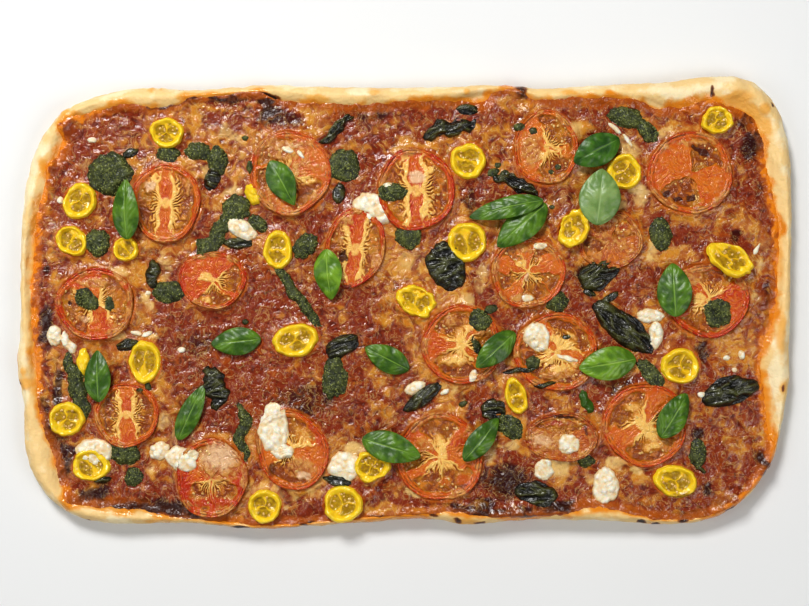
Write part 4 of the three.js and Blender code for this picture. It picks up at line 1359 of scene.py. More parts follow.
CORE_ON_SLICES = Patch.groups({
    1: ((521, 263, 4.2, 3.0), (646, 428, 15, 4.4, -55), (441, 450, 12, 3.2, -79), (461, 343, 12, 3.6, -88),
        (560, 341, 11, 2.8, -12), (557, 369, 7, 3.8, 15), (206, 277, 4.6, 3.6), (699, 299, 5.4, 5.4),
        (457, 360, 9, 3.8)),
    0.9: ((451, 361, 7, 2.8), (468, 327, 6, 2.4), (541, 157, 7, 2.6, 20), (652, 446, 8, 3, 20)),
    0.8: ((548, 353, 4, 5), (297, 172, 3.4, 9), (310, 182, 6, 1.6, 20), (445, 466, 6, 3.4),
        (207, 300, 3.2, 2.2), (632, 407, 6, 3.4), (570, 335, 6, 2, -40)),
    0.7: ((572, 366, 8, 5, 30),),
    0.6: ((303, 436, 6, 9, 30),),
})
RED_ON_SLICES = Patch.groups({
    1: ((411, 208, 2.8, 7, 15), (424, 210, 2.8, 7, -10)),
    0.9: ((166, 189, 3.8, 8), (352, 226, 4.6, 7), (575, 363, 6, 2, -20), (560, 423, 16, 3),
        (184, 486, 5, 12, 20), (242, 480, 4, 14, -10), (212, 502, 22, 4)),
    0.8: ((128, 403, 5, 6), (213, 500, 6, 6), (186, 480, 3, 10), (458, 443, 8, 3, 10), (463, 480, 6, 6),
        (600, 232, 8, 3, 30), (624, 228, 8, 4, -30), (316, 430, 4, 16, 20)),
    0.7: ((128, 437, 5, 4), (447, 482, 4, 4)),
    0.6: ((167, 224, 5, 7), (440, 345, 8, 8), (726, 295, 10, 8), (596, 345, 4, 12)),
    0.5: ((105, 320, 5, 6), (225, 268, 8, 4), (120, 300, 4, 12)),
})
BURNT_ON_SLICES = Patch.groups({
    1: ((72, 303, 2.2, 2),),
    0.9: ((342, 256, 3, 5), (565, 417, 12, 1.4, -5)),
    0.8: ((345, 288, 5, 3), (585, 430, 2, 6, 20)),
    0.7: ((272, 470, 3, 8), (305, 194, 9, 1.4, 25), (106, 420, 1.4, 8), (586, 244, 4, 3),
        (448, 371, 8, 1.2, 10), (463, 486, 4, 3)),
    0.6: ((284, 459, 4, 2), (700, 332, 10, 1.6)),
    0.5: ((196, 485, 2, 6), (625, 418, 5, 2.4, 20), (66, 300, 1.4, 12)),
})
# Holes in the slices: sunk into the face and painted in the roasted colour as painted shade.
HOLES = Patch.groups({
    1: ((700, 151, 8, 2.6, -25), (667, 194, 4, 3), (678, 199, 3, 2), (692, 198, 4.4, 2.6, 10),
        (344, 257, 2.4, 4), (72, 303, 1.6, 1.4)),
})


@dataclass(frozen=True)
class YellowSlice(Oval):
    """Yellow tomato slice: its place, chambers and how much it caught the heat."""

    chambers: int = 3
    phase: float = 0.0
    roast: float = 0.0
    roast_at: float = 0.0
    crumple: float = 1.0


YELLOW_SLICES = YellowSlice.rows(
    (167, 133, 10, 9, 0, 3, 20), (80, 201, 9.5, 11, -30, 3, 50), (72, 241, 10, 8.5, -35, 2, 0),
    (126, 249, 7.5, 7.5, 0, 2, 30), (278, 250, 8.5, 11.5, 0, 2, 90),
    (416, 301, 12, 9, -25, 2, 10, 0, 0, 2.4), (468, 161, 10.5, 10.5, 0, 2, 70),
    (467, 242, 11.5, 11.5, 0, 2, 0), (574, 229, 9, 11.5, -25, 2, 60, 0.4, 0, 2.4),
    (624, 172, 10.3, 10.5, 0, 3, 15), (716.5, 120.5, 9.4, 8.2, 15, 3, 40, 0.35, 180, 1.6),
    (728, 260, 14.5, 9, -30, 3, 0, 0, 0, 2.0), (296, 340, 13.5, 9.8, 12, 3, 30),
    (145, 362, 9.5, 12.8, 0, 2, 0), (67, 419, 10.5, 10, 0, 3, 45, 0.3, 180),
    (91, 465, 11, 9.5, 0, 2, 20, 0.4, 270), (516, 396, 6.5, 11, 15, 2, 90, 0.3, 90),
    (680, 366, 11.5, 10.5, 0, 3, 10), (675, 481, 13, 9.5, -15, 3, 0, 0.7, 300), (265, 506, 10, 10, 0, 3, 30),
    (343, 504, 11.5, 11, 0, 3, 60), (372, 466, 10.5, 9, 20, 4, 0, 0, 0, 2.2),
)


class Seat:
    """Where a slice sits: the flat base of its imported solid."""

    def __init__(self, node: str, oval: Oval) -> None:
        """Finds the base.

        Args:
            node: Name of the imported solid.
            oval: Place of the slice.
        """
        mesh = frame["nodes"][node].data
        flat = [face for face in mesh.polygons if face.normal.z < -0.9]
        normal = sum((face.normal * face.area for face in flat), Vector()).normalized()
        centre = sum((face.center * face.area for face in flat), Vector()) / sum(face.area for face in flat)
        x, y = oval.centre()
        up = -normal
        lean = (up.x * (centre.x / MM - x) + up.y * (centre.y / MM - y)) / up.z
        self.origin = Vector((x, y, centre.z / MM + lean))
        self.turn = Vector((0, 0, 1)).rotation_difference(up).to_matrix()
        self.turn = self.turn @ Matrix.Rotation(math.radians(oval.turn), 3, "Z")

    def place(self, name: str, rings: Array, side: Sequence[Pair], material: Material) -> Piece:
        """Closes a slice's face with a side and brings it from its own frame onto the pizza.

        Args:
            name: Name of the piece.
            rings: Rings of points from the middle of the face to its edge.
            side: Share of the edge's width, and height in mm, of each further ring.
            material: Finish of the slice.

        Returns:
            The slice.
        """
        rings = np.concatenate([rings, np.stack([rings[-1] * (k, k, 0) + (0, 0, z) for k, z in side])])
        points, faces = shell(rings, np.array((0, 0, rings[0, :, 2].mean())), np.zeros(3))
        return make_piece(name, points @ np.array(self.turn).T + np.array(self.origin), faces, material)


def wobble(angle: Array, seed: float) -> Array:
    """Unevenness of an oval piece's outline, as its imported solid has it."""
    return np.sin(3 * angle + seed) + 0.6 * np.sin(5 * angle + 2.3 * seed)


def swing(angle: Array, goal: float) -> Array:
    """Smallest turn in radians, either way, between each angle and a goal."""
    return np.abs((angle - goal + math.pi) % (2 * math.pi) - math.pi)


@dataclass
class TomatoSlice:
    """Roasted slice of a red tomato, with its skin standing up as a thin ring."""

    around: int = 220
    across: int = 46
    crowding: float = 0.85
    seed: int = 100
    unevenness: float = 0.025
    skin: float = 0.955
    inner_ring: float = 0.895
    wall: float = 0.84

    def _cut(self, entry: RedSlice, number: int, share: Array, angle: Array) -> dict[str, Array]:
        """Masks of what the cut shows.

        Args:
            entry: The slice.
            number: Its number, which seeds what is random.
            share: Share of the radius, 0 in the middle.
            angle: Direction from the middle in radians.

        Returns:
            Named masks from 0 to 1, and the noises that bend them.
        """
        grain = Grain(self.seed + number)
        flat, circle = polar(25 * share, angle, 7.0 * number), polar(12, angle, 9.0 * number)
        noises = [grain.rough(flat, 9, 2), grain.smooth(flat, 3)]
        noises += [grain.smooth(circle, 7), grain.smooth(circle, 1.8)]
        stray, ripple, lap, fringe = (noise.reshape(share.shape) for noise in noises)
        bent, reach = angle + 0.22 * stray, share + 0.05 * stray
        teeth = ease(0.15, 0.7, 0.5 + 0.5 * np.sin(26 * bent + 4 * ripple))
        fibres = 0.5 + 0.5 * np.sin(30 * angle + 9 * stray + 2.5 * ripple)
        gel = np.zeros(share.shape)
        core = 0.8 * ease(0.6, 0.25, reach / entry.core)
        for goal, half in entry.chambers:
            off = swing(bent, math.radians(goal)) / math.radians(half)
            deep = reach - entry.core * (0.5 + 1.2 * off**2)
            chamber = ease(1.08, 0.9, off) * ease(self.wall + 0.02, self.wall - 0.04, reach + 0.03 * fringe)
            gel = np.maximum(gel, chamber * ease(0.0, 0.07, deep))
            band = ease(-0.2, -0.07, deep) * ease(0.12, 0.02, deep)
            comb = teeth * ease(-0.06, 0.0, deep) * ease(0.4 + 0.25 * fringe, 0.12, deep)
            fibre = ease(1.3, 1.0, off) * np.maximum(band, 0.9 * comb) * ease(0.0, 0.15, entry.core)
            core = np.maximum(core, fibre)
        core = core * (0.7 + 0.3 * fibres)
        rays = ease(0.3, 0.95, fibres) * (1 - gel) * ease(0.1, 0.3, reach)
        rays *= ease(self.wall + 0.04, 0.6, reach)
        film = ease(-0.1, 0.4, lap) * ease(0.74, 0.94, share + 0.08 * stray)
        film += entry.film * (0.7 + 0.9 * stray)
        inner = np.exp(-(((share - self.inner_ring + 0.014 * fringe) / 0.017) ** 2)) * ease(-0.5, 0.1, lap)
        skin = np.maximum(ease(self.skin - 0.035, self.skin, share + 0.015 * ripple), 0.8 * inner)
        # Dark lines for the roast mask: painted shade in the groove between the skin and the inner ring, and a
        # line along the inner edge of the wall. Parts of the outermost edge are darkened too.
        groove = np.exp(-(((share - 0.925) / 0.016) ** 2)) + 0.9 * np.exp(-(((share - 0.845) / 0.02) ** 2))
        roast = 0.85 * groove * ease(-0.6, 0.3, fringe)
        roast += 0.6 * ease(0.97, 1.0, share) * ease(-0.2, 0.6, stray)
        masks = {"skin": skin, "gel": gel, "core": core, "film": film, "roast": roast, "rays": rays}
        return {**masks, "inner": inner, "ripple": ripple, "stray": stray, "fringe": fringe}

    @staticmethod
    def _touch(cut: dict[str, Array], x: Array, y: Array) -> None:
        """Adds to the masks what lies on the slice or was burnt into it at places in mm, and its holes, painted
        dark as shade.
        """
        x, y = x + 1.6 * cut["stray"], y + 1.2 * cut["ripple"]
        streaks = 0.75 + 0.25 * cut["fringe"]
        cut["film"] = np.maximum(cut["film"], cover_of(FILM_ON_SLICES, x, y))
        cut["pale"] = cover_of(PALE_ON_SLICES, x, y)
        cut["core"] = np.maximum(cut["core"], cover_of(CORE_ON_SLICES, x, y) * streaks)
        cut["red"] = cover_of(RED_ON_SLICES, x, y)
        # Holes take the roasted colour as painted shade.
        cut["hole"] = ease(0.3, 0.8, cover_of(HOLES, x, y))
        cut["roast"] = np.maximum(cut["roast"], np.maximum(cover_of(BURNT_ON_SLICES, x, y), cut["hole"]))
        cut["gel"] = cut["gel"] * (1 - cut["core"]) * (1 - 0.7 * cut["red"])

    def _level(self, cut: dict[str, Array], number: int, share: Array, angle: Array) -> Array:
        """Height of the slice's face as a share of its thickness.

        Args:
            cut: Its masks.
            number: Its number.
            share: Share of the radius, 0 in the middle.
            angle: Direction from the middle in radians.

        Returns:
            Heights from 0 to about 1.
        """
        level = 0.6 + 0.13 * cut["core"] + 0.06 * cut["rays"] + 0.06 * cut["pale"] - 0.28 * cut["gel"]
        level = mix(level, 0.64 + 0 * level, ease(self.wall - 0.02, self.wall + 0.05, share))
        ridge = np.exp(-(((share - 0.965 + 0.012 * cut["stray"]) / 0.018) ** 2))
        ring = 0.82 + 0.14 * np.sin(3 * angle + number) * np.sin(2 * angle) + 0.1 * cut["fringe"]
        level = np.maximum(level, mix(level, ring, ridge))
        groove = 0.1 * np.exp(-(((share - 0.93) / 0.014) ** 2))
        level += 0.14 * cut["inner"] - groove - 0.35 * ease(0.975, 1.0, share)
        level += (0.04 * cut["ripple"] + 0.05 * cut["stray"]) * ease(0.0, 0.1, share)
        film = ease(0.35, 0.8, cut["film"])
        level = mix(level, np.maximum(level, 0.66), film * 0.75) + 0.05 * film * (1 + cut["ripple"])
        return mix(level, np.full(level.shape, 0.18), cut["hole"])

    def build(self, number: int, entry: RedSlice, material: Material) -> Piece:
        """Makes one slice on its seat.

        Args:
            number: Its number, from 1.
            entry: Its place and looks.
            material: Finish of its tone.

        Returns:
            The slice, painted and finished.
        """
        node = f"tomato_slice_{number:02d}"
        share, angle = grid(self.around, self.across, self.crowding)
        cut = self._cut(entry, number, share, angle)
        outline = 1 + self.unevenness * wobble(angle, number - 1) + 0.014 * cut["stray"] * ease(0.5, 1, share)
        x = entry.radii[0] * share * outline * np.cos(angle)
        y = entry.radii[1] * share * outline * np.sin(angle)
        self._touch(cut, *entry.spread(x, y))
        rings = columns(x, y, self._level(cut, number, share, angle) * SLICE_HEIGHT)
        side = ((1.0, 0.42 * SLICE_HEIGHT), (0.975, 0.12), (0.93, 0.0))
        piece = Seat(node, entry).place(f"red_{node}", rings, side, material)
        for name, masks in (("cut", "skin gel core film"), ("roasting", "roast red rays pale")):
            paint(piece, name, *(over_shell(cut[m], float(m == "skin"), len(side)) for m in masks.split()))
        return piece


@dataclass
class YellowTomato:
    """Roasted slice of a small yellow tomato: a thick wall round a sunken heart."""

    around: int = 96
    across: int = 26
    crowding: float = 0.9
    seed: int = 200
    gel_seed: int = 700
    unevenness: float = 0.025
    wall: float = 0.72

    def build(self, number: int, entry: YellowSlice, material: Material) -> Piece:
        """Makes one slice on its seat.

        Args:
            number: Its number, from 1.
            entry: Its place and looks.
            material: Its finish.

        Returns:
            The slice, painted and finished.
        """
        node = f"yellow_tomato_{number:02d}"
        grain = Grain(self.seed + number)
        draw = np.random.default_rng(self.gel_seed + number)
        share, angle = grid(self.around, self.across, self.crowding)
        stray = grain.rough(polar(12 * share, angle, 5.0 * number), 6, 2).reshape(share.shape) * entry.crumple
        bent, reach = angle + 0.35 * stray, share + 0.05 * stray
        width = 2 * math.pi / entry.chambers
        gel = np.zeros(share.shape)
        for k in range(entry.chambers):
            goal = math.radians(entry.phase) + width * (k + 0.2 * (draw.random() - 0.5))
            off = swing(bent, goal) / (0.5 * width * 0.86)
            box = (off**4 + (np.abs(reach - 0.37) / 0.33) ** 4) ** (1 / 4)
            gel = np.maximum(gel, ease(1.3, 0.65, box))
        thin = 0.07 * np.sin(2 * angle + number) + 0.04 * np.sin(5 * angle + 2 * number)
        wall = ease(self.wall - 0.1 + thin, self.wall + 0.06 + thin, reach)
        gel = gel * (1 - wall)
        septum = (1 - gel) * (1 - wall)
        lip = 0.8 + 0.13 * np.sin(2 * angle + 3 * number) + 0.07 * np.sin(7 * angle + 3 * number)
        level = mix(0.46 + 0.1 * septum - 0.12 * gel, lip, ease(0.62 + thin, 0.84, reach))
        level = level - 0.42 * ease(0.88, 1.0, share) ** 1.5 + 0.05 * stray * ease(0, 0.2, share)
        outline = 1 + self.unevenness * wobble(angle, number - 1) + 0.055 * stray * ease(0.5, 1, share)
        x = entry.radii[0] * share * outline * np.cos(angle)
        y = entry.radii[1] * share * outline * np.sin(angle)
        side = ((1.0, 1.3), (0.93, 0.15), (0.86, 0.0))
        piece = Seat(node, entry).place(f"slice_{node}", columns(x, y, level * YELLOW_HEIGHT), side, material)
        near = ease(1.3, 0.2, swing(angle, math.radians(entry.roast_at)))
        roast = entry.roast * near * ease(0.3, 0.9, share) + 0.3 * ease(0.9, 1.0, share) * ease(0, 0.6, stray)
        masks = ((wall, 1.0), (gel, 0.0), (septum, 0.0), (roast, 0.3))
        paint(piece, "cut", *(over_shell(mask, edge, len(side)) for mask, edge in masks))
        return piece


# Fresh basil.
@dataclass(frozen=True)
class Leaf:
    """Fresh leaf: stalk and tip in the photograph, width in mm, looks, and where it is widest."""

    stalk: Pair
    tip: Pair
    width: float
    shade: Shade = Shade.BRIGHT
    skew: float = 0.86
    quilting: float = 0.35


BASIL_LEAVES = (
    Leaf((129, 240), (127, 180), 16.5), Leaf((295, 206), (271, 161), 16.5, Shade.BRIGHT, 1.25, 0.2),
    Leaf((327, 249), (331, 300), 17, Shade.LIGHT), Leaf((261, 339), (211, 344), 16.5),
    Leaf((409, 370), (365, 347), 15.5), Leaf((100, 402), (98, 350), 15.5), Leaf((178, 440), (204, 385), 13),
    Leaf((362, 438), (421, 456), 18), Leaf((463, 460), (499, 418), 14), Leaf((515, 332), (475, 367), 15.5),
    Leaf((546, 204), (497, 247), 19), Leaf((543, 201), (469, 217), 13.5),
    Leaf((619, 139), (573, 163), 19, Shade.DARK, 0.95, 0.2),
    Leaf((595, 226), (602, 169), 24.5, Shade.UNDERSIDE), Leaf((675, 317), (672, 263), 20.5),
    Leaf((636, 359), (578, 368), 20, Shade.LIGHT),
    Leaf((659, 437), (686, 393), 16.5, Shade.BRIGHT, 0.86, 0.6),
)


@dataclass
class BasilLeaf:
    """Fresh basil leaf, thin and wavy, laid on what is under it."""

    rows: int = 84
    columns: int = 40
    seed: int = 300
    thickness: float = 0.5
    packed_skew: float = 0.86
    fullness: float = 0.68
    arch: float = 0.16
    bow: float = 0.05
    wave: float = 0.035
    wave_count: float = 7.0
    vein_pairs: float = 7.0

    def _face(self, along: Array, across: Array, size: Pair, number: int, skew: float) -> Array:
        """Upper face of the leaf before it is laid down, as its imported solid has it.

        Args:
            along: Share of the length from the stalk.
            across: Share of the half width, from -1 to 1.
            size: Length and width in mm.
            number: Number of the leaf from 0, which gives the phase of its waves.
            skew: Where it is widest, towards the stalk below 1.

        Returns:
            Points in mm.
        """
        length, width = size
        half = 0.5 * width * np.sin(math.pi * along**skew) ** self.fullness
        lift = self.arch * half * (1 - across**2) + self.bow * length * np.sin(math.pi * along)
        lift = lift + self.wave * width * np.sin(self.wave_count * along + number) * across
        return columns((along - 0.5) * length, across * half, lift)

    def _lay(self, node: str, leaf: Leaf, number: int) -> tuple[Array, Array, float]:
        """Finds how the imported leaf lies.

        Args:
            node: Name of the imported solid.
            leaf: Its place.
            number: Number of the leaf from 0.

        Returns:
            Turn as a matrix, place of its middle in mm, and its length.
        """
        stalk, tip = np.array(from_photo(leaf.stalk)), np.array(from_photo(leaf.tip))
        heading = math.atan2(*(tip - stalk)[::-1])
        length = float(np.hypot(*(tip - stalk)))
        along, across = (g.ravel() for g in np.meshgrid((0.1, 0.32, 0.56, 0.8), (-1, -0.5, 0, 0.5, 1)))
        along = np.concatenate([[1e-9, 1.0], along])
        across = np.concatenate([[0, 0], across])
        face = self._face(along, across, (length, leaf.width), number, self.packed_skew)
        plain = np.vstack([face, face - (0, 0, LEAF_THICKNESS)])
        spin = np.array(Matrix.Rotation(heading, 3, "Z"))
        plain = plain @ spin.T
        packed = np.unique(np.round(points_of(frame["nodes"][node]), 3), axis=0)
        middle = np.append(0.5 * (stalk + tip), 0)
        own, laid = self._plane(plain), self._plane(packed - middle)
        slope = laid[1:] - own[1:]
        up = Vector((-slope[0], -slope[1], 1)).normalized()
        lean = np.array(Vector((0, 0, 1)).rotation_difference(up).to_matrix())
        turned = plain @ lean.T
        middle[2] = packed[:, 2].mean() - turned[:, 2].mean()
        return lean @ spin, middle, length

    @staticmethod
    def _plane(points: Array) -> Array:
        """Height and slopes of the best plane through points."""
        level = np.column_stack([np.ones(len(points)), points[:, 0], points[:, 1]])
        return np.linalg.lstsq(level, points[:, 2], rcond=None)[0]

    def build(self, number: int, leaf: Leaf, material: Material) -> Piece:
        """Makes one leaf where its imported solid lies.

        Args:
            number: Its number, from 1.
            leaf: Its place and looks.
            material: Finish of its shade.

        Returns:
            The leaf, painted and finished.
        """
        node = f"basil_leaf_{number:02d}"
        grain = Grain(self.seed + number)
        turn, middle, length = self._lay(node, leaf, number - 1)
        along = np.linspace(0.004, 0.996, self.rows + 1)[:, None]
        across = np.linspace(-1, 1, self.columns + 1)[None, :]
        along, across = np.broadcast_arrays(along, across)
        face = self._face(along, across, (length, leaf.width), number - 1, leaf.skew)
        phase = self.vein_pairs * (along - 0.3 * np.abs(across)) + 0.4 * (across > 0)
        crest = np.abs((phase % 1) - 0.5) * 2
        fade = ease(0.0, 0.12, along) * ease(1.0, 0.85, along)
        veins = ease(0.86, 1.0, crest) * fade
        midrib = ease(0.075, 0.02, np.abs(across)) * ease(1.05, 0.6, along)
        flat = face.reshape(-1, 3) + 40 * number
        stray = grain.rough(flat, 7, 2).reshape(along.shape)
        quilt = (1 - crest**2) * ease(0.04, 0.3, np.abs(across)) * ease(1.0, 0.75, np.abs(across)) * fade
        lift = leaf.quilting * (quilt - 0.45) * (0.6 + 0.8 * stray) - 0.35 * midrib + 0.55 * stray
        rim = ease(0.9, 1.0, np.abs(across)) * 0.25
        upper = face + columns(0 * lift, 0, lift + rim * np.sin(9 * along + number))
        lower = upper - columns(0 * lift, 0, self.thickness * (1 - 0.6 * ease(0.85, 1.0, np.abs(across))))
        points = np.vstack([upper.reshape(-1, 3), lower.reshape(-1, 3)])
        index = np.arange(along.size).reshape(along.shape)
        quads = np.stack([index[:-1, :-1], index[1:, :-1], index[1:, 1:], index[:-1, 1:]], axis=-1)
        quads = quads.reshape(-1, 4)
        rim_loop = np.concatenate([index[:-1, 0], index[-1, :-1], index[:0:-1, -1], index[0, :0:-1]])
        after = np.roll(rim_loop, -1)
        size = along.size
        sides = np.stack([rim_loop, rim_loop + size, after + size, after], axis=-1)
        faces = quads.tolist() + (quads[:, ::-1] + size).tolist() + sides.tolist()
        piece = make_piece(f"fresh_{node}", points @ turn.T + middle, faces, material)
        # Random blotches, plus a painted highlight on the raised bulges between the veins.
        blotch_and_bulge_highlight = 0.4 + 0.75 * stray + 0.15 * quilt
        paint(piece, "leaf", *(np.tile(mask.ravel(), 2) for mask in (midrib, veins, blotch_and_bulge_highlight)))
        return piece


# What is baked onto the cheese.
@dataclass(frozen=True)
class Lump(Oval):
    """Dollop, lump or shrunken leaf: its place, and how high it stands."""

    rise: float = 3.0


PESTO = Lump.rows(
    (111, 174, 13, 11.5, 0, 5), (168, 154, 6.3, 4.7, 0, 2.4), (97, 243, 7, 8.3, 0, 3.4),
    (198, 151, 8, 5, 0, 3), (217, 160, 6, 8.5, 0, 3.4), (344, 166, 9.3, 9.8, 0, 3.6),
    (236, 208, 8, 7.5, 0, 3.4), (212, 243, 23, 4.8, 61, 3.2), (257, 223, 6.5, 4.2, -45, 2.6),
    (305, 246, 8.8, 5.8, 45, 2.8), (298, 297, 22.5, 3.4, -54, 2.6), (168, 292, 9.3, 6.3, 0, 3.2),
    (408, 234, 8, 8.4, 0, 3.2), (334, 379, 7.3, 12, 0, 3.4), (76, 386, 20.5, 5.2, -77, 3.2),
    (125, 453, 8.5, 7, 0, 3.2), (133, 477, 5.5, 5.5, 0, 2.6), (243, 430, 3.8, 16, 0, 2.6),
    (625, 117, 9.5, 6.3, -12, 3.2), (647, 131, 8.5, 5, -50, 3), (661, 234, 6, 10, 12, 2.8),
    (557, 302, 6.5, 6, 0, 2.6), (651, 374, 10.5, 5, -50, 2.6), (586, 461, 5, 3.7, 0, 2.2),
    (698, 454, 5, 8, 0, 2.6), (510, 427, 8.5, 6, -40, 2.8),
)
CHEESE_LUMPS = Lump.rows(
    (372, 209, 11.5, 8.5, -40, 4), (241, 229, 9.5, 5.5, -30, 3.6), (94, 452, 10.5, 7.5, 0, 4.5),
    (159, 451, 6.3, 5, 25, 3), (181, 459, 9.5, 7, -15, 3.6), (650, 316, 7.5, 4.2, 0, 3),
    (656, 334, 4.2, 7.8, 0, 3), (345, 466, 9, 8.5, 0, 3), (606, 486, 7.5, 11, 0, 3.6),
    (544, 470, 5.6, 6, 0, 2.4), (54, 336, 4.2, 6, 0, 3), (67, 343, 3, 7, 12, 3),
    (415, 388, 6.5, 3.5, 25, 2.2),
)
WILTED_LEAVES = Lump.rows(
    (446, 266, 10, 16, 18, 3.6), (449, 129, 13.5, 5.8, 12, 3), (468, 109, 5.6, 3.5, 0, 2.2),
    (624, 328, 19, 9.5, -40, 3.6), (730, 391, 14.5, 9, 15, 3.8), (537, 494, 11, 7.5, -12, 3.2),
    (342, 346, 9.5, 6.5, 25, 3), (214, 388, 6, 14.5, 12, 3), (152, 274, 3.6, 10, 0, 2.6),
    (423, 397, 11, 5, 38, 2.8), (336, 129, 11, 3.6, 45, 2.8), (493, 410, 6.5, 7, 0, 2.6),
    (598, 274, 11, 9.5, 35, 3.6), (237, 243, 7.5, 3.6, 0, 2.2), (127, 345, 6, 3.6, 15, 2.2),
    (212, 178, 4, 8, -15, 2.6), (516, 184, 13, 4.2, -20, 3), (338, 481, 7.5, 3.6, -10, 2.4),
)

# Lumps on red slices: kind, number of the slice, and the lump.
LUMPS_ON_SLICES = (
    (Baked.PESTO, 3, Lump((392, 193), (8.5, 5.3), 0, 2.2)),
    (Baked.PESTO, 6, Lump((87, 299), (8, 5.5), -35, 2.4)),
    (Baked.PESTO, 11, Lump((480, 320), (7, 6.5), 0, 2.2)),
    (Baked.PESTO, 13, Lump((717, 313), (7.5, 9.5), 0, 2.4)),
    (Baked.CHEESE, 12, Lump((537, 337), (7, 9), 30, 2.6)),
    (Baked.CHEESE, 16, Lump((274, 427), (8.5, 14.5), 0, 3.4)),
    (Baked.CHEESE, 16, Lump((283, 451), (6.5, 4.5), 0, 2.4)),
    (Baked.CHEESE, 18, Lump((568, 444), (6, 6), 0, 2.2)),
)

# Small bits that lie all over.
CHEESE_CRUMBS = Lump.rows(
    (136, 333, 3.4, 1.3, -10, 1.3), (147, 334, 3.2, 1.4, 15, 1.3), (181, 350, 2.2, 1.8, 0, 1.2),
    (148, 293, 1.6, 1.4, 0, 1.0), (727, 358, 2.0, 1.6, 0, 1.2), (742, 355, 1.9, 2.9, 20, 1.5),
    (735, 370, 1.7, 1.4, 0, 1.0), (473, 376, 2.2, 3.8, -15, 1.6), (193, 455, 2.6, 2.2, 0, 1.4),
    (288, 150, 3.6, 1.8, -20, 1.3), (301, 155, 3.2, 1.3, -35, 1.1), (388, 186, 3.4, 2.0, 0, 1.4),
    (567, 358, 6.2, 1.7, -22, 1.5), (347, 347, 2.4, 1.6, 20, 3.6), (527, 298, 3.6, 2.2, 0, 1.2),
    (540, 246, 4.0, 2.0, 0, 1.2), (92, 140, 2.8, 1.6, 0, 1.3), (60, 200, 2.0, 2.2, 0, 1.3),
    (615, 128, 5.0, 1.3, -30, 1.1), (628, 140, 4.6, 1.2, -50, 1.1), (757, 249, 4.0, 1.2, 60, 1.1),
    (702, 395, 2.6, 1.8, 0, 1.1), (445, 392, 3.0, 1.4, 30, 1.1), (232, 243, 2.2, 1.3, 0, 2.6),
    (187, 462, 6, 5.4, 0, 2.4), (193, 455, 3.6, 3.4, 0, 1.8),
)
PESTO_BITS = Lump.rows(
    (245, 322, 1.8, 1.6, 0, 1.0), (551, 172, 1.7, 1.5, 0, 1.0), (552, 207, 1.6, 1.4, 0, 1.0),
    (494, 172, 3.6, 2.4, 20, 1.6), (505, 175, 3.0, 3.2, 0, 1.6), (519, 127, 3.2, 2.6, 0, 1.4),
    (533, 131, 2.6, 2.2, 0, 1.2), (558, 167, 2.0, 1.8, 0, 1.1), (491, 309, 4.4, 2.6, 20, 1.6),
    (477, 346, 2.4, 5.6, 10, 1.6), (533, 363, 4.4, 4.2, 0, 2.0), (110, 304, 2.8, 4.4, 10, 1.4),
    (245, 138, 2.0, 1.6, 0, 1.0), (250, 167, 2.0, 4.0, 0, 1.4), (463, 404, 2.6, 1.6, 30, 1.2),
    (498, 165, 2.0, 1.6, 0, 1.1), (640, 118, 1.8, 1.4, 0, 1.0), (148, 386, 1.8, 3.0, 20, 1.2),
)
BASIL_BITS = Lump.rows(
    (130, 153, 4.2, 3.0, 20, 1.8), (103, 480, 4.4, 2.4, 10, 1.6), (610, 298, 5.0, 2.6, 30, 1.8),
    (590, 293, 3.4, 2.2, -20, 1.6), (372, 352, 3.0, 1.6, 30, 1.2), (566, 337, 2.2, 1.6, 0, 1.2),
    (120, 203, 3.4, 5.0, 0, 1.6), (545, 385, 6.0, 1.6, 10, 1.4), (339, 193, 3.4, 6.8, -10, 2.2),
    (520, 370, 9.0, 1.8, 8, 1.6), (702, 470, 3.0, 1.6, -40, 1.2), (140, 390, 2.0, 1.4, 0, 1.2),
)
YELLOW_SLIVERS = Lump.rows((83, 362, 3.6, 7.6, 0, 3.2), (253, 194, 4.4, 6.6, 25, 4.0))
FRESH_SCRAP = Lump((586, 402), (2.8, 8), 20, 2.2)


